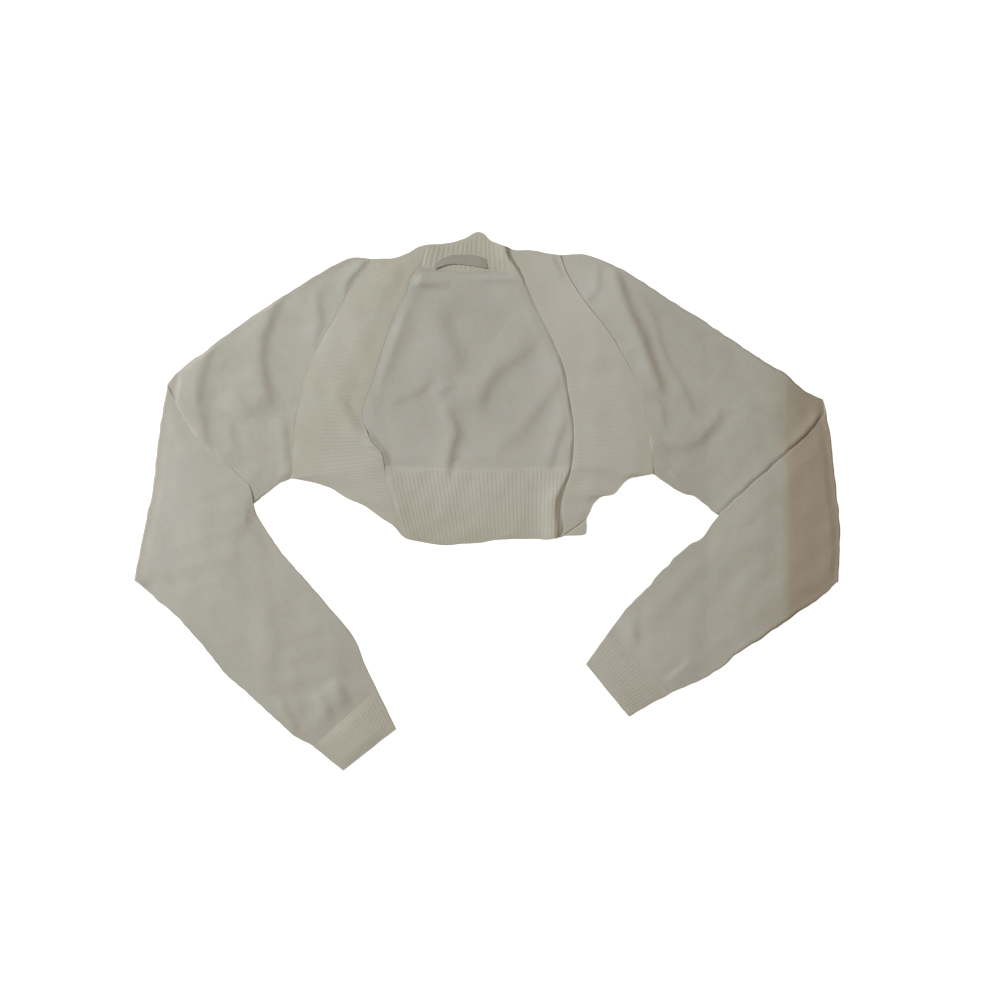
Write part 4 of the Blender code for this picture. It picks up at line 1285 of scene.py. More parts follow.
@dataclass
class NeckRib:
    """The rib-knit trim of the back neck."""

    pitch: float = 5.1
    facets: int = 8
    rib_height: float = 0.37
    depth: float = 28.0  # from the free edge to the seam
    row_step: float = 1.6
    lift_run: float = 14.0
    cut: Cut = Cut(0.112, 0.041, 0.0032)

    def lift(self, x: Array) -> Array:
        """The height of the trim's underside, which rises to the left band's end."""
        return (WALL + LAY_GAP) * fade(x - NECK_TOP[0][0], self.lift_run)

    def make(self, room: Workroom) -> Piece:
        """Makes the trim in place of its solid."""
        top_line = smooth_curve(NECK_TOP)
        length = lengths_along(top_line)[-1]
        ribs = round(length / self.pitch)
        shares, round_columns = graded(length, length / (ribs * self.facets), (SEWN_RIM, FREE_RIM))
        rows, round_rows = graded(self.depth, self.row_step, (FREE_RIM, SEWN_RIM))
        top = at_shares(top_line, shares)
        bottom = on_line(NECK_SEAM, shares) + np.array([0.0, 1.6 * SEAM_GAP])
        plan = ruled(top, bottom, rows)
        phase = np.broadcast_to(shares * ribs, plan.shape[:2])
        down = rows * self.depth
        ends = ramp(down, 1.0, 2.5) * smoothstep((self.depth - 1.2 - down) / 2.0)
        gap = past_band(Side.RIGHT, plan)
        clear = ramp(gap, -1.0, 2.0)
        width, rise = (np.interp(plan[..., 1], (243.0, 262.0), sizes) for sizes in ((5.0, 7.5), (2.4, 4.2)))
        beside_band = rise * ramp(gap, 0.2, width) * fade(gap, 15.0)
        amount = ends[:, None] * clear * ramp(plan[..., 0] - plan[:, :1, 0], 1.2, 2.0)
        stitch_map = np.stack([WALES_PER_RIB * phase + 0.5, np.broadcast_to(down[:, None], phase.shape)], axis=-1)
        wall = Wall(
            plan, self.lift(plan[..., 0]) + beside_band, round_rows, round_columns, stitch_map,
            rib_phase=phase, rib_amount=amount,
        )
        piece = wall.piece("neck_cloth", room.material(RIBBED))
        room.rib(piece, self.rib_height * MM)
        take_place(piece, "neck_rib")
        return piece


@dataclass
class NeckLabel:
    """The woven label, left bare. Its lower edge stands a little off the neck seam."""

    length: float = 58.0
    depth: float = 8.0
    thickness: float = 0.6
    clearance: float = 0.1  # over the trim's ribs
    curl: float = 0.65
    taper: float = 8.0  # how far from its right end it thins out
    cut: Cut = Cut(0.060, 0.011, 0.00058)

    def make(self, room: Workroom, neck: NeckRib) -> Piece:
        """Makes the label in place of its solid."""
        columns, round_columns = graded(self.length, 1.2)
        rows, round_rows = graded(self.depth, 0.8)
        top = on_line(LABEL_TOP, columns)
        bottom = on_line(LABEL_BOTTOM, columns)
        plan = ruled(top, bottom, rows)
        underside = neck.lift(plan[..., 0]) + WALL + neck.rib_height + self.clearance
        underside = underside + self.curl * (rows[:, None] ** 2) * (1 + 0.3 * np.sin(columns * 9.0))[None]
        wall = Wall(
            plan, underside, round_rows, round_columns, plan / 0.5, thickness=self.thickness,
            fullness=0.4 + 0.6 * smoothstep((1 - columns) * self.length / self.taper)[None],
        )
        piece = wall.piece("label_tape", room.material(BARE_TAPE))
        take_place(piece, "label")
        return piece


@dataclass
class FrontBand:
    """A ribbed front that lies on the back. Its ribs run from its free edge to its outer edge."""

    side: Side
    free_edge: Line
    outer_edge: tuple[Line, ...]
    rungs: Line  # where ribs start and end: lengths along the free and the outer edge
    lifts: Line  # how far the free edge stands clear of the cloth under it, by the length along it
    folds: tuple[Fold, ...]
    cut: Cut
    pitch: float
    rib_height: float
    edge_share: float  # how much of its thickness the band keeps at its free edge
    rib_share: float = 1.0  # how clearly the ribs show
    facets: int = 7
    depth: float = 100.0  # usual length of a rib, from the free edge to the outer edge
    row_step: float = 2.6
    lift_run: float = 12.0

    def make(self, room: Workroom) -> Piece:
        """Makes the band in place of its solid."""
        free = smooth_curve(self.free_edge)
        outer = np.vstack([smooth_curve(stretch) for stretch in self.outer_edge])
        length = lengths_along(free)[-1]
        ribs = round(length / self.pitch)
        shares, round_columns = graded(length, length / (ribs * self.facets), (SEWN_RIM, FREE_RIM))
        stations = shares * self.rungs[-1][0]
        free_points = at_shares(free, shares)
        outer_points = at_shares(outer, np.interp(stations, *zip(*self.rungs)) / self.rungs[-1][1])
        rows, round_rows = graded(self.depth, self.row_step, (FREE_RIM, SEWN_RIM))
        plan = ruled(free_points, outer_points, rows)
        inwards = np.linalg.norm(plan - plan[:1], axis=-1)
        to_outer = np.linalg.norm(plan - plan[-1:], axis=-1)
        edge_lift = np.interp(stations, *zip(*self.lifts))
        underside = WALL + LAY_GAP + edge_lift * fade(inwards, self.lift_run)
        eased = smoothstep(inwards / 22.0) * smoothstep(to_outer / 18.0)
        loose = eased * (0.35 + cockle(plan, 38.0, 0.2, 20 + self.side.value))
        creased = smoothstep(inwards / 5.0) * smoothstep(to_outer / 5.0) * fold_relief(plan, self.folds)
        kept = self.edge_share + (1 - self.edge_share) * smoothstep(inwards / 7.0)
        kept = kept * (0.4 + 0.6 * smoothstep((1 - shares) * length / 7.0))[None]
        underside = underside + np.maximum(loose + creased, 0.0) + WALL * (1 - kept)
        phase = np.broadcast_to(shares * ribs, plan.shape[:2])
        amount = self.rib_share * ramp(inwards, 0.9, 1.8) * ramp(to_outer, 1.0, 2.0)
        amount = amount * (0.35 + 0.65 * ramp(to_outer, 4.0, 30.0))
        for from_end in (shares * length, (1 - shares) * length):
            amount = amount * ramp(from_end, 0.8, 1.5)[None]
        stitch_map = np.stack([WALES_PER_RIB * phase + 0.5, inwards / COURSE], axis=-1)
        wall = Wall(
            plan, underside, round_rows, round_columns, stitch_map,
            rib_phase=phase, rib_amount=amount, fullness=kept,
        )
        piece = wall.piece(f"front_cloth_{self.side.word}", room.material(RIBBED))
        room.rib(piece, self.rib_height * MM)
        take_place(piece, f"front_band_{self.side.word}")
        return piece


@dataclass
class Sleeve:
    """A plain-knit sleeve: a flat tube folded over at the elbow, with the forearm on the upper arm."""

    side: Side
    armhole: Line
    overarm: Line
    underarm: Line
    elbow: Line
    elbow_slip: float
    fore_inner: Line
    fore_outer: Line
    cuff_start: Line
    arm_folds: tuple[Fold, ...]
    fore_folds: tuple[Fold, ...]
    cut: Cut
    step: float = 2.3
    upper_points: int = 84
    loft: float = 1.2  # free height inside the tube where it lies loose
    held: float = 0.2  # the same where something lies on it, and at its seams
    most: float = 12.0
    mouth_height: float = 2.5  # of the upper layer, where it meets the band
    mouth_shift: tuple[float, float] = (0.02, 0.01)
    mouth_dip: float = 0.0  # how much lower the upper half of the mouth lies beside the band
    fold_start: float = 1.3  # how far under the forearm the upper arm begins to rise
    fold_run: float = 2.3  # how far that rise runs
    fold_swell: float = 0.9  # how much fuller the upper arm is beside the forearm
    elbow_run: float = 0.02  # share of the arm over which it comes down to the elbow
    drop_start: float = 1.0  # how far past the upper arm the forearm begins to come down
    drop_run: float = 15.0  # how far it takes to reach the floor
    roll: Point3 = (0.0, 1.0, 0.0)  # start, crest and height of a roll short of the elbow
    rim_run: float = 12.0  # how far in from a side edge the roll takes up that edge's height
    painted_rim_shade: float = 0.0  # how much painted shade darkens the yarn along the upper arm's outer edge and round the elbow

    @property
    def pressed(self) -> float:
        """Thickness of the tube where it is pressed flat."""
        return 2 * SLEEVE_WALL + self.held

    @property
    def fold_radius(self) -> float:
        """Outer radius of the elbow fold."""
        return 0.2 + self.pressed

    def grids(self) -> tuple[Array, Array, Array, Array]:
        """The plan grids of the upper arm and the forearm, and the wall's rounding along them."""
        across = np.linspace(0.0, 1.0, 61)
        over = smooth_curve(self.overarm)
        arm_along, arm_round = graded(lengths_along(over)[-1], self.step, (SEWN_RIM, 0.0))
        arm = coons(
            on_line(self.armhole, across),
            on_line(self.elbow, across),
            at_shares(over, arm_along),
            on_line(self.underarm, arm_along),
            across,
            arm_along,
        )
        near_mouth = (1 - smoothstep(arm_along / 0.06))[:, None, None]
        arm = arm + near_mouth * np.array([self.side.value * self.mouth_shift[0], self.mouth_shift[1]])
        inner = smooth_curve(self.fore_inner)
        fore_along, fore_round = graded(lengths_along(inner)[-1], self.step, (0.0, SEWN_RIM))
        slipped = self.elbow_slip + (1 - self.elbow_slip) * across
        fore = coons(
            on_line(self.elbow, slipped),
            on_line(self.cuff_start, across),
            at_shares(inner, fore_along),
            on_line(self.fore_outer, fore_along),
            across,
            fore_along,
        )
        return arm, fore, arm_round, fore_round

    def arm_depth(self, plan: Array, along: Array, inset: Array) -> Array:
        """How far the upper arm's loose upper layer stands over the pressed tube.

        Args:
            plan: rings x points x 2.
            along: How far along the arm each ring lies, as a share.
            inset: How far in from the nearer side edge each point lies.

        Returns:
            rings x points.
        """
        cover = -self.side.value * beside_line(plan, smooth_curve(self.fore_inner, 10)[:60])[0]
        mouth = ramp(along[:, None], 0.01, 0.10)
        near_elbow = ramp(along[:, None], 0.74, 0.16)
        base = (self.loft - self.held + cockle(plan, 30.0, 0.2, 30 + self.side.value)) * smoothstep(inset / 36.0)
        base = base + self.fold_swell * (1 + 0.8 * near_elbow) * fade(cover, 9.0)
        at_mouth = (self.mouth_height - self.pressed) * smoothstep(inset / 8.0)
        creased = smoothstep(along[:, None] / 0.02) * smoothstep(inset / 6.0) * fold_relief(plan, self.arm_folds)
        from_mouth = beside_line(plan, smooth_curve(self.armhole, 10))[0]
        dip = self.mouth_dip * fade(np.abs(from_mouth), 14.0) * ramp(plan[..., 1], 105.0, 40.0)
        dip = dip * smoothstep(inset / 8.0)
        relief = np.clip(mouth * base + (1 - mouth) * at_mouth + creased, -0.1, self.most) - dip
        beside = ramp(cover, -self.fold_start, self.fold_run)
        return beside * relief * smoothstep((1 - along[:, None]) / self.elbow_run)

    def fore_depth(self, plan: Array, along: Array, inset: Array) -> Array:
        """How far the forearm's loose upper layer stands over the pressed tube.

        Its lower layer drops to the floor just past the upper arm, and its upper layer comes down slowly.

        Args:
            plan: rings x points x 2.
            along: How far along the forearm each ring lies, as a share.
            inset: How far in from the nearer side edge each point lies.

        Returns:
            rings x points.
        """
        step = self.pressed + LAY_GAP
        slow = step * (self.dropped(plan) - ramp(self.past_arm(plan), -8.0, 66.0)) * smoothstep(inset / 32.0)
        loose = smoothstep(along / 0.05)[:, None] * smoothstep((1 - along) / 0.08)[:, None]
        base = (self.loft - self.held + cockle(plan, 30.0, 0.2, 40 + self.side.value)) * smoothstep(inset / 26.0)
        creased = smoothstep(inset / 6.0) * fold_relief(plan, self.fore_folds)
        return loose * (np.clip(base + creased, -0.2, self.most) + slow)

    def past_arm(self, plan: Array) -> Array:
        """How far past the upper arm's lower edge each plan point lies."""
        return -self.side.value * beside_line(plan, smooth_curve(self.underarm, 10))[0]

    def dropped(self, plan: Array) -> Array:
        """0 where the forearm lies on the upper arm and 1 where it lies on the floor."""
        return ramp(self.past_arm(plan), self.drop_start, self.drop_run)

    def rolled(self, plan: Array) -> Array:
        """A roll that runs down the plan: a slow rise, a soft crest and an even fall to the elbow."""
        start, crest, height = self.roll
        x = self.side.value * plan[..., 0]
        end = self.side.value * edge_at(smooth_curve(self.elbow), plan[..., 1])
        rise = smoothstep((x - start) / (crest - start))
        fall = np.clip((end - x) / (end - crest), 0.0, 1.0)
        return height * np.maximum(0.5 * (rise + fall) - 0.5 * np.sqrt((rise - fall) ** 2 + 0.3**2), 0.0)

    def own_roll(self, plan: Array, part: TubePart) -> Array:
        """How much fuller this part of the tube is for the roll; on the upper arm the arm itself carries it."""
        if part is TubePart.ELBOW:
            return np.zeros(plan.shape[:-1])
        if part is TubePart.ARM:
            return self.rolled(plan)
        return self.rolled(plan) * self.dropped(plan)

    def fore_lift(self, plan: Array, along: Array) -> Array:
        """The height of the forearm's underside: on the upper arm, and then down to the floor."""
        on_arm = (self.pressed + LAY_GAP + self.rolled(plan)) * (1 - self.dropped(plan))
        at_fold = 2 * self.fold_radius - self.pressed
        near_fold = 1 - smoothstep(along / 0.05)
        return on_arm + (at_fold - on_arm) * np.reshape(near_fold, (-1,) + (1,) * (on_arm.ndim - 1))

    def make(self, room: Workroom) -> Piece:
        """Makes the sleeve in place of its solid."""
        arm, fore, arm_round, fore_round = self.grids()
        turns = np.radians(np.arange(12.0, 180.0, 12.0))
        bends = arm[-1][None] + (fore[0] - arm[-1])[None] * (turns / math.pi)[:, None, None]
        fore_share = np.linspace(0.0, 1.0, len(fore))
        chord_parts, upper_parts, edge_parts = [], [], []
        for part, rows in ((TubePart.ARM, arm), (TubePart.ELBOW, bends), (TubePart.FOREARM, fore)):
            chords = row_lengths(rows)
            at_rims = self.own_roll(rows[:, [0, -1]], part)
            starts = (self.pressed + at_rims[:, :1]) / 2
            ends = chords[:, None] - (self.pressed + at_rims[:, 1:]) / 2
            places = starts + (ends - starts) * np.linspace(0.0, 1.0, self.upper_points)[None]
            plan = rows_at(rows, places / chords[:, None])
            inset = np.minimum(places - starts, ends - places)
            if part is TubePart.ARM:
                raised = self.arm_depth(plan, np.linspace(0.0, 1.0, len(arm)), inset)
            elif part is TubePart.FOREARM:
                raised = self.fore_depth(plan, fore_share, inset)
            else:
                raised = np.zeros(places.shape)
            own = self.own_roll(plan, part)
            roll = own
            for here, rim, inwards in ((0, at_rims[:, :1], places - starts), (-1, at_rims[:, 1:], ends - places)):
                roll = roll + (rim - own[:, [here]]) * (1 - smoothstep(inwards / self.rim_run))
            upper_parts.append(self.pressed + raised + roll)
            chord_parts.append(chords)
            edge_parts.append(self.pressed + at_rims)
        rims = np.concatenate([arm_round, np.ones(len(bends)), fore_round])
        tube = FlatTube(np.concatenate(chord_parts), np.vstack(upper_parts), rims, np.vstack(edge_parts))
        rows = np.vstack([arm, bends, fore])
        loops = []
        for across, depth in (tube.loop(1), tube.loop(-1)):
            plan = rows_at(rows, across / tube.chords[:, None])
            loops.append(self.laid(plan, depth, rows, turns, tube, fore_share, len(arm)))
        along = lengths_along(rows[:, rows.shape[1] // 2])
        # The sleeve hands its painted shadow and painted rim shade to the material as a named number
        piece = tube.piece(
            f"sleeve_cloth_{self.side.word}", *loops, along, room.material(PLAIN_OUTSIDE),
            {"yellowed": self.yellowed(loops[0], len(arm) + len(bends) // 2)},
        )
        take_place(piece, f"sleeve_{self.side.word}")
        return piece

    def yellowed(self, points: Array, fore_from: int) -> Array:
        """1 where shade is painted into the yarn's colour: a brown painted shadow from the roll's crest to the elbow,
        and painted shade along the rims.

        Args:
            points: The outer loops' points, rings x points x 3.
            fore_from: The first ring of the forearm; the upper arm turns more softly.

        Returns:
            rings x points.
        """
        _, crest, height = self.roll
        past = self.side.value * points[..., 0] - crest
        on_fore = (np.arange(len(points)) >= fore_from)[:, None]
        # A brown painted shadow over the roll's far side, then painted shade along the rims
        roll_shadow = np.where(on_fore, ramp(past, -9.0, 21.0), 0.8 * ramp(past, -21.0, 38.0))
        roll_shadow = roll_shadow * float(height > 0)
        to_elbow = self.side.value * (edge_at(smooth_curve(self.elbow), points[..., 1]) - points[..., 0])
        to_outer = np.abs(beside_line(points[..., :2], smooth_curve(self.overarm, 10))[0])
        near = np.where(on_fore, to_elbow, np.minimum(to_elbow, to_outer))
        return np.minimum(roll_shadow + self.painted_rim_shade * fade(near, 6.0), 1.0)

    def laid(
        self,
        plan: Array,
        depth: Array,
        rows: Array,
        turns: Array,
        tube: FlatTube,
        fore_share: Array,
        arm_count: int,
    ) -> Array:
        """The loops in space: flat on the floor, round the elbow, and turned over on the upper arm.

        Args:
            plan: rings x points x 2.
            depth: rings x points, up from the face that is lowest on the upper arm.
            rows: The plan grid's rows.
            turns: The elbow rings' angles.
            tube: The tube, for its thickness.
            fore_share: How far along the forearm each of its rings lies.
            arm_count: How many rings the upper arm has.

        Returns:
            rings x points x 3.
        """
        space = np.dstack([plan, depth])
        bend = slice(arm_count, arm_count + len(turns))
        ways = rows[bend, -1] - rows[bend, 0]
        ways = ways / np.linalg.norm(ways, axis=1)[:, None]
        outwards = self.side.value * np.stack([-ways[:, 1], ways[:, 0]], axis=1)
        radius = self.fold_radius - depth[bend]
        across, _ = tube.loop(1)
        inset = np.clip(np.minimum(across, tube.chords[:, None] - across)[bend] / 9.0, 0.0, 1.0)
        rounded = 0.7 + 0.3 * np.sqrt(1 - (1 - inset) ** 2)
        bulge = rounded * radius * np.sin(turns)[:, None]
        space[bend, :, :2] = plan[bend] + outwards[:, None] * bulge[..., None]
        space[bend, :, 2] = self.fold_radius - radius * np.cos(turns)[:, None]
        fore = slice(arm_count + len(turns), None)
        lift = self.fore_lift(plan[fore], fore_share)
        # The tube's thickness at each point, from its flat points.
        flat = tube.flat_places(self.upper_points)[fore]
        thick = np.stack([
            np.interp(place, flat_row, upper_row)
            for place, flat_row, upper_row in zip(across[fore], flat, tube.upper[fore])
        ])
        space[fore, :, 2] = lift + thick - depth[fore]
        return space


@dataclass
class Cuff:
    """A ribbed cuff: a short flat tube whose ribs run along the sleeve."""

    side: Side
    start: Line
    end: Line
    cut: Cut = Cut(0.181, 0.050, 0.0073)
    rib_height: float = 0.22
    rib_share: float = 1.0  # how clearly the ribs show
    pitch: float = 4.2
    facets: int = 8
    step: float = 1.8

    def make(self, room: Workroom) -> Piece:
        """Makes the cuff in place of its solid."""
        start, end = np.array(self.start, float), np.array(self.end, float)
        start = start + (end - start) / np.linalg.norm(end - start, axis=1)[:, None] * SEAM_GAP
        length = float(np.linalg.norm(end - start, axis=1).mean())
        along, rims = graded(length, self.step, (SEWN_RIM, FREE_RIM))
        ends = start[None] + (end - start)[None] * along[:, None, None]
        rows = ends[:, :1] + (ends[:, 1:] - ends[:, :1]) * np.linspace(0.0, 1.0, 9)[None, :, None]
        chords = row_lengths(rows)
        ribs = round(chords[0] / self.pitch) - 1
        count = ribs * self.facets + 1
        pressed = 2 * SLEEVE_WALL + 0.3
        bulge = 1.1 * smoothstep(np.minimum(along, 1 - along) * length / 12.0)[:, None]
        share = np.linspace(0.0, 1.0, count)[None]
        upper = pressed + bulge * (4 * share * (1 - share))
        tube = FlatTube(chords, upper, rims, np.full((len(chords), 2), pressed))
        loops = []
        for across, depth in (tube.loop(1), tube.loop(-1)):
            loops.append(np.dstack([rows_at(rows, across / chords[:, None]), depth]))
        phase, amount, shadow = np.zeros((3, len(along), loops[0].shape[1]))
        upper_points = slice(tube.turning + 3, tube.turning + 3 + count)
        phase[:, upper_points] = (ribs * share)[:, ::-1]
        phase[:, tube.lower_flat] = ribs * np.linspace(0.0, 1.0, tube.lower_points)
        lengthwise = (0.25 + 0.75 * smoothstep(along * length / 9.0)) * smoothstep(along * length / 2.0)
        lengthwise = lengthwise * ramp((1 - along) * length, 0.9, 1.4)
        even = np.sqrt(np.clip(4 * share * (1 - share) * 4, 0, 1))
        amount[:, upper_points] = self.rib_share * lengthwise[:, None] * even
        shadow[:, tube.lower_flat] = 1.0
        piece = tube.piece(
            f"cuff_cloth_{self.side.word}", *loops, along * length, room.material(RIBBED),
            {"rib_phase": phase, "rib_amount": amount, "flat_side": shadow},
            wale=float(chords[0] / ribs / WALES_PER_RIB),
        )
        room.rib(piece, self.rib_height * MM)
        take_place(piece, f"cuff_{self.side.word}")
        return piece


@dataclass(frozen=True)
class Seam:
    """A line of linking stitches between two pieces."""

    name: str
    line: Line
    heights: tuple[float, float]  # at its start and its end
    width: float = 2.0
    pitch: float = 2.2
    rise: float = 0.35
    yarn: float = 0.34
    first: float = 0.0
    last: float = 1.0
    shift: Point = (0.0, 0.0)
    stations: int = 60  # points on its line, before the stitches are spaced along it

    def make(self, room: Workroom) -> Piece:
        """Makes the seam's stitches as one piece."""
        plan = on_line(self.line, np.linspace(self.first, self.last, self.stations)) + np.array(self.shift)
        points = placed(np.column_stack([plan, np.linspace(*self.heights, self.stations)]))
        mesh = bpy.data.meshes.new(self.name)
        mesh.from_pydata(points.tolist(), [(step, step + 1) for step in range(self.stations - 1)], [])
        piece = linked(self.name, mesh)
        room.linking.run(
            piece, Pitch=self.pitch * MM, Width=self.width * MM, Rise=self.rise * MM, Yarn_Radius=self.yarn * MM,
            Finish=room.material(LINKING),
        )
        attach(piece, ROOT)
        log.info("%s: %d faces", piece.name, len(piece.data.polygons))
        return piece


# ---- tables


SLEEVE_LEFT = Sleeve(
    side=Side.LEFT,
    armhole=ARMHOLE_LEFT,
    overarm=(
        (-123, 255), (-143, 256.5), (-163, 248.8), (-207, 222.5), (-255, 191), (-294, 162), (-326, 138),
        (-337.5, 125),
    ),
    underarm=((-209, 24), (-220, 19), (-238, 6), (-246, -1), (-285, -25), (-318, -45), (-372.5, -83)),
    elbow=((-337.5, 125), (-347.5, 65), (-352.5, 18), (-359.5, -14), (-373.5, -83)),
    elbow_slip=0.02,
    fore_inner=(
        (-337, 120), (-306, 70), (-275, 39), (-251, 15), (-246, -10), (-222, -49), (-195, -80), (-166, -114),
        (-143, -142), (-131, -171), (-119, -196),
    ),
    fore_outer=(
        (-372, -83), (-357, -96.5), (-325, -125), (-293, -162), (-276, -183), (-253, -203), (-224, -230),
        (-204, -247), (-186, -257),
    ),
    cuff_start=CUFF_START_LEFT,
    arm_folds=creases(
        (6.2, 19.1, 23.6, -217.5, 220.4, 0, -221.5, 207.1, 3.2, -230, 188, 3.5, -236.1, 164.8, 3.6,
         -237.1, 146.4, 3.6, -234, 127.2, 3.4, -230, 114.5, 2.5, -226.5, 102.1, 0),
        (8.2, 19.6, 35, -289.5, 167.5, 0, -292.5, 157, 3.8, -298.5, 140, 4.6, -303, 122.5, 4.2, -303, 106.5, 4.1,
         -300, 91, 4.2, -297.5, 75, 3.8, -293.5, 61.5, 1.4, -290.5, 54, 0),
        (5.3, 12.2, 12.2, -180, 226.5, 0, -179, 211.5, 1.8, -177, 196, 2.5, -176, 186.5, 2.4, -180, 175, 1.8,
         -183, 163.5, 1.1, -186.5, 155, 0),
        (4, 8, 7, -122.5, 260, 0, -129.5, 250.5, 2.7, -139, 240, 2.7, -146.5, 231.5, 2.5, -149.5, 222, 1.8,
         -151.5, 214.5, 0),
        (15, 26, 28, -224, 126, 0, -231, 113, 2.2, -238, 99, 3.2, -246, 86, 2.4, -252, 74, 0),
        (7.4, 13.5, 13.5, -268.5, 119, 0, -264, 108.5, 2.3, -255.5, 99, 2.4, -245, 92, 0),
        (6.1, 13.8, 10.7, -219, 92, 0, -216, 81.5, 1.5, -213.5, 69, 2.1, -211.5, 52, 2.2, -210.5, 37.5, 2.1,
         -209.5, 22.5, 1.5),
        (2.8, 9, 7, -325, 142.5, 0, -326, 127.5, -1.6, -328, 113, -1.6, -327, 100.5, 0),
        (6.2, 11.1, 11.1, -271.6, 87.3, 0, -270.6, 74.7, 1.9, -267, 60, 1.7, -264, 47.5, 0),
        (9.8, 16, 16, -180, 245, 0, -190.5, 228.5, 0.8, -195, 211.5, 0.8, -195, 195, 0),
        (11.2, 18, 18, -266, 188.5, 0, -276.5, 165.5, 1.3, -281, 142.5, 1.3, -281, 121.5, 0),
    ),
    fore_folds=creases(
        (4.2, 9, 10, -220, -202, 0, -216, -212.5, 1.9, -209.5, -225, 2.1, -203, -238, 1.5, -200, -245, 0),
        (8, 13.8, 13.8, -162.6, -185, 0, -157.1, -194.4, 4.6, -149.6, -206, 4.6, -143.6, -217.5, 2.6,
         -140.1, -224.5, 0),
        (11.6, 19.9, 22.4, -236, -99.5, 0, -230, -118.4, 1.8, -225.6, -141.2, 2.1, -225.6, -161.9, 1.9,
         -228.1, -180.8, 0),
        (15.5, 27.8, 27.8, -308, 60.5, 0, -304, 33, 0.8, -300, 1.5, 1, -297.5, -30, 0.8, -297.5, -61.5, 0),
        (18.7, 31.5, 31.5, -266, -19.5, 0, -262, -51, 0.8, -249.5, -86.5, 0.8, -239, -114, 0),
        (7, 10.2, 10.2, -180, -198, 0, -171.5, -212.5, 3.1, -163.5, -227.5, 2.5, -159, -235.5, 0),
        (8.4, 14, 14, -318.5, -101.5, 0, -304, -122.5, -0.9, -287, -145.5, -0.9, -272.5, -166.5, 0),
    ),
    cut=Cut(0.400, 0.635, 0.148, "folded"),
    fold_start=4.2,
    fold_run=2.0,
    fold_swell=0.36,
    # painted shade along the left sleeve's rims
    painted_rim_shade=0.45,
)
SLEEVE_RIGHT = Sleeve(
    side=Side.RIGHT,
    armhole=ARMHOLE_RIGHT,
    overarm=(
        (74, 259), (89, 260), (107, 258), (145, 241), (196, 207.8), (233, 185), (285, 149), (311, 134), (329, 118),
        (350.5, 107),
    ),
    underarm=((172, 29), (186, 18), (200, 10), (215, 5), (228, -4), (239, -14), (284, -40), (365, -85)),
    elbow=((350.5, 107), (358, 60), (362, 20), (367, -30), (365, -85)),
    elbow_slip=0.08,
    fore_inner=(
        (352.5, 92), (328, 65), (285, 27), (241, -14), (223, -38), (206, -48), (182, -72), (164, -92), (146, -110),
        (125, -137),
    ),
    fore_outer=(
        (364.5, -85), (348, -101), (325, -116), (287, -143), (263, -158), (243, -175), (223, -187), (191, -201),
    ),
    cuff_start=CUFF_START_RIGHT,
    arm_folds=creases(
        (6.1, 13.1, 18.9, 130.5, 247.5, 0, 136, 237, 3.8, 142.5, 218, 4.6, 149.5, 199, 4.7, 157, 184.5, 4.9,
         164.5, 167.5, 4.9, 169.5, 150.5, 4.9, 175, 137, 4.6, 180, 123.5, 3.6, 183, 109.5, 0),
        (4.1, 10.3, 13.7, 154.7, 223.1, 0, 165.2, 208.6, 0.8, 173.5, 194.4, 1.2, 177.5, 179.6, 1.3, 183, 161.5, 1.5,
         188.1, 147.8, 1.5, 196.6, 135.2, 1.5, 202.6, 122.8, 1.5, 209.1, 110.3, 1.5, 213, 100, 1.2, 218.5, 85, 0),
        (3.8, 7.6, 8.7, 117, 251.5, 0, 116, 239, 1.2, 115, 228.5, 1.4, 112, 220, 1.5, 105.5, 212.5, 1.5, 99, 207.5, 0),
        (5.2, 12.4, 12.4, 246, 100.5, 0, 241, 85.5, 2.6, 234.5, 77, 3, 226.5, 67.5, 2.9, 218, 61.5, 2.6,
         206.5, 57, 2.3, 191.5, 55, 2, 174, 54, 1.7, 160, 56, 0),
        (3.6, 8, 8, 208.5, 18.5, 0, 196, 25.5, 1.3, 183, 34, 1.3, 170.5, 41.5, 0),
        (12.6, 24.3, 24.3, 241.1, 170, 0, 245.1, 147, 1.1, 249.1, 122.2, 1.5, 255.5, 101.4, 0),
        (7.4, 18, 18, 269.9, 135.8, 0, 273.9, 106.3, 0.5, 279.4, 74.8, 0.6, 280.4, 47.9, 0),
        (5, 8.6, 9.7, 175.8, 107.5, 0, 182, 96.7, 1.3, 185, 82.1, 1.3, 189.5, 69.7, 0),
        (3.5, 6.8, 6.8, 135.5, 165, 0, 145.5, 161.6, 1.8, 150.7, 164.9, 0),
        (11.2, 18, 18, 204, 195, 0, 221, 169.5, 0.9, 229.5, 144.5, 0.9, 229.5, 123.5, 0),
    ),
    fore_folds=creases(
        (3.9, 9, 9, 210.5, -162, 0, 200, -174, -1.8, 187.5, -184.5, -1.9, 175, -195, 0),
        (7.1, 13.8, 13.8, 152.5, -115.9, 0, 154, -130.4, 2.4, 155, -145.5, 2.4, 155.1, -160, 0),
        (16.5, 27.1, 27.1, 265, -30, 0, 259, -57, 0.7, 246, -86.5, 0.7, 229.5, -109.5, 0),
        (18, 27, 27, 286, 22.5, 0, 288, -19.5, 0.5, 284, -61.5, 0.5, 273.5, -99, 0),
        (2.9, 7, 7, 137, -145.5, 0, 143.5, -158, 0.7, 151.5, -170.5, 0.7, 158, -179, 0),
    ),
    cut=Cut(0.385, 0.625, 0.154, "folded"),
    mouth_dip=0.7,
    fold_start=0.6,
    fold_run=3.2,
    fold_swell=1.3,
    elbow_run=0.05,
    # The roll also sets where the brown painted shadow lies
    roll=(220.0, 311.0, 7.0),
)
CUFFS = (
    Cuff(Side.LEFT, CUFF_START_LEFT, ((-98, -239), (-154, -283)), pitch=4.3),
    Cuff(Side.RIGHT, CUFF_START_RIGHT, ((101, -171), (146, -226)), rib_share=0.6),
)
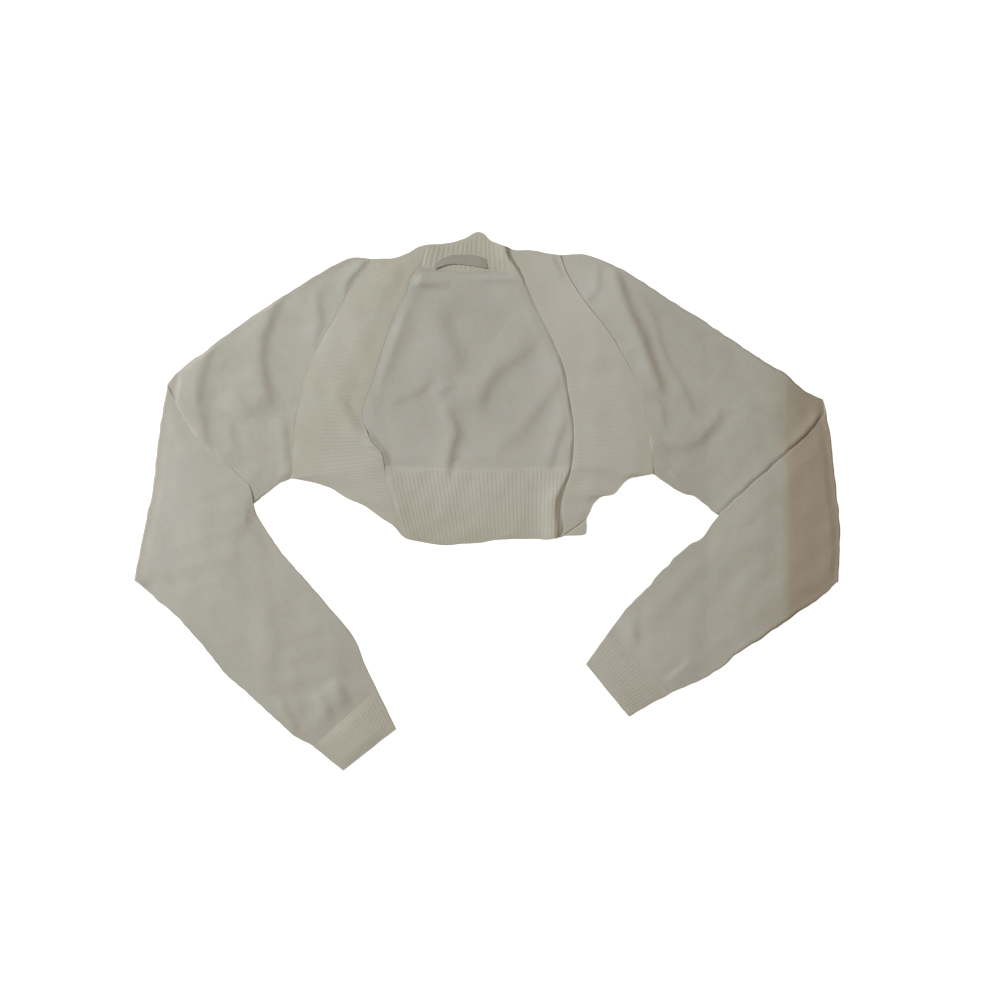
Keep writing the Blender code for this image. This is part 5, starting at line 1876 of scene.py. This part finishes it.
BANDS = (
    FrontBand(
        side=Side.LEFT,
        free_edge=BAND_EDGE_LEFT,
        outer_edge=(SHOULDER_LEFT, ARMHOLE_LEFT, SIDE_LEFT),
        rungs=(
            (0, 0), (36, 73), (74, 122), (138, 199), (185, 256), (232, 313), (248, 338), (266, 367), (282, 397),
            (298, 431), (312, 448),
        ),
        lifts=(
            (0, 0.0), (60, 0.0), (184, 0.0), (196, 2.0), (208, 2.7), (222, 1.8), (229, 0.9), (236, 0.1), (312, 0.0),
        ),
        folds=creases(
            (8, 18, 14, -160, 127.5, 0, -155, 111, 1.8, -147.5, 96, 3, -140, 83.5, 3.2, -135, 73, 2.4, -132, 60.5, 0),
            (16.8, 24.3, 24.3, -167.5, 211.5, 0, -163.5, 180, 0.8, -161, 148.5, 0),
            (5.2, 12, 14, -195, 64.5, 0, -199, 48, 0.4, -201, 29, 0),
            (7.4, 12.7, 14.9, -93, 251.1, 0, -97, 240.7, 1, -99.5, 228.3, 1, -101.5, 215.8, 0),
        ),
        cut=Cut(0.312, 0.110, 0.0197),
        pitch=3.95,
        rib_height=0.17,
        edge_share=0.12,
    ),
    FrontBand(
        side=Side.RIGHT,
        free_edge=BAND_EDGE_RIGHT,
        outer_edge=(SHOULDER_RIGHT, ARMHOLE_RIGHT, SIDE_RIGHT),
        rungs=(
            (0, 0), (28, 52), (60, 82), (105, 128), (139, 174), (192, 239), (245, 304), (273, 356), (296, 388),
            (316, 398),
        ),
        lifts=(
            (0, 0.3), (60, 0.2), (112, 0.3), (132, 0.7), (146, 0.3), (168, 0.5), (190, 0.6), (204, 0.3), (218, 0.3),
            (234, 0.9), (248, 0.3), (285, 0.4), (316, 0.2),
        ),
        folds=creases(
            (3.5, 8, 7, 65.5, 262, 0, 70, 249.5, 1.1, 75, 241, 1.2, 80.5, 230.5, 0),
            (4.2, 10, 14, 160, 29, 0, 128.5, 32, 1.2, 103.5, 33, 1.5, 84.5, 34, 0.9),
            (10.5, 23, 23, 113.9, 127.6, 0, 111.9, 96.1, 0.4, 111.9, 69, 0),
            (11.9, 18.4, 18.4, 147.5, 52, 0, 122.5, 57, -0.8, 99, 58.5, 0),
        ),
        cut=Cut(0.316, 0.100, 0.0187),
        pitch=4.1,
        rib_height=0.09,
        edge_share=0.85,
        rib_share=0.55,
    ),
)
SEAMS = (
    Seam(
        "linking_armhole_left", ARMHOLE_LEFT, (2.4, 2.4), first=0.02, last=0.98, shift=(-0.25, 0.1), width=2.4,
        pitch=1.3, rise=0.15,
    ),
    Seam(
        "linking_armhole_right", ARMHOLE_RIGHT, (2.2, 2.2), first=0.62, last=0.88, shift=(0.25, 0.1), width=2.4,
        pitch=1.5, rise=0.15,
    ),
    Seam("linking_neck", NECK_SEAM, (1.1, 0.95), first=0.09, last=0.97, rise=0.1, yarn=0.2),
    Seam("linking_hem", HEM_SEAM, (0.95, 0.95), first=0.28, last=0.76, width=1.6, rise=0.1, yarn=0.2),
    *(
        Seam(
            f"linking_cuff_{side.word}", line, (1.35, 1.35), first=0.04, last=0.96,
            shift=(-0.05 * side.value, -0.05), rise=0.15, yarn=0.25,
        )
        for side, line in ((Side.LEFT, CUFF_START_LEFT), (Side.RIGHT, CUFF_START_RIGHT))
    ),
)


# ---- studio


@dataclass
class Studio:
    """The pale table, the soft light and the camera straight above."""

    view_centre: Point = (11.64, 1.36)  # millimetres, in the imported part's frame
    view_width: float = 1050.0  # what the frame's width takes in at the cloth
    lens: float = 85.0
    table_reach: float = 40.0  # metres
    table_drop: float = 0.0002  # metres below the cloth
    far_clip: float = 50.0  # metres

    def floor(self) -> Piece:
        """A plain pale table top, just under the cloth."""
        mesh = bpy.data.meshes.new("pale_table")
        far, low = self.table_reach, -self.table_drop
        mesh.from_pydata([(-far, -far, low), (far, -far, low), (far, far, low), (-far, far, low)], [], [(0, 1, 2, 3)])
        made = linked("pale_table", mesh)
        surface, wiring = new_material("pale_table_top")
        # The table looks evenly lit to the camera, and doesn't glow on the cloth.
        glow = wiring.math("MULTIPLY", wiring.node("ShaderNodeLightPath").outputs["Is Camera Ray"], 0.9)
        shader = wiring.node("ShaderNodeBsdfPrincipled", {
            "Base Color": (0.78, 0.78, 0.78), "Roughness": 0.85, "Specular IOR Level": 0.1,
            "Emission Color": (1.0, 1.0, 1.0), "Emission Strength": glow,
        })
        wiring.node("ShaderNodeOutputMaterial", {"Surface": shader.outputs["BSDF"]})
        mesh.materials.append(surface)
        return made

    @staticmethod
    def light(name: str, place: Point3, size: float, watts: float, colour: Colour) -> Piece:
        """A square soft light that looks at the cloth.

        Args:
            name: The light's name.
            place: Where it stands, in metres.
            size: Its side.
            watts: Its power.
            colour: Its colour.

        Returns:
            The light's object.
        """
        data = bpy.data.lights.new(name, "AREA")
        data.shape = "SQUARE"
        data.size = size
        data.energy = watts
        data.color = colour
        made = linked(name, data)
        made.location = place
        made.rotation_euler = (-Vector(place)).to_track_quat("-Z", "Y").to_euler()
        return made

    def camera(self) -> Piece:
        """A long lens straight above the cloth."""
        data = bpy.data.cameras.new("overhead")
        data.lens = self.lens
        data.sensor_width = 36.0
        data.clip_end = self.far_clip
        made = linked("overhead", data)
        height = self.view_width * self.lens / data.sensor_width
        made.location = (self.view_centre[0] * MM, self.view_centre[1] * MM, (height + 3.0) * MM)
        bpy.context.scene.camera = made
        return made

    def set_up(self) -> None:
        """Puts up the table, the lights and the camera."""
        self.floor()
        self.light("window", (-2.05, 0.95, 1.6), 0.9, 69.0, (0.82, 0.92, 1.0))
        world = bpy.data.worlds.new("soft_room")
        world.use_nodes = True
        world.node_tree.nodes.clear()
        wiring = Wiring(world.node_tree)
        # Past the table's far edge the room looks as pale as the table.
        shades = (((1.0, 0.81, 0.56), 0.29), ((1.0, 1.0, 1.0), 1.0))
        light, pale = (
            wiring.node("ShaderNodeBackground", {"Color": colour, "Strength": strength}).outputs[0]
            for colour, strength in shades
        )
        seen = wiring.node("ShaderNodeLightPath").outputs["Is Camera Ray"]
        room = wiring.node("ShaderNodeMixShader", {0: seen, 1: light, 2: pale})
        wiring.node("ShaderNodeOutputWorld", {"Surface": room.outputs[0]})
        bpy.context.scene.world = world
        bpy.context.scene.view_settings.view_transform = "Standard"
        self.camera()


def main() -> None:
    """Sets up the studio, then builds the garment's pieces in order."""
    logging.basicConfig(level=logging.INFO, format="%(name)s: %(message)s")
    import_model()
    Studio().set_up()
    room = Workroom()
    BackPanel().make(room)
    HemRib().make(room)
    neck = NeckRib()
    neck.make(room)
    NeckLabel().make(room, neck)
    for band in BANDS:
        band.make(room)
    for sleeve in (SLEEVE_LEFT, SLEEVE_RIGHT):
        sleeve.make(room)
    for cuff in CUFFS:
        cuff.make(room)
    for seam in SEAMS:
        seam.make(room)


if __name__ == "__main__":
    main()
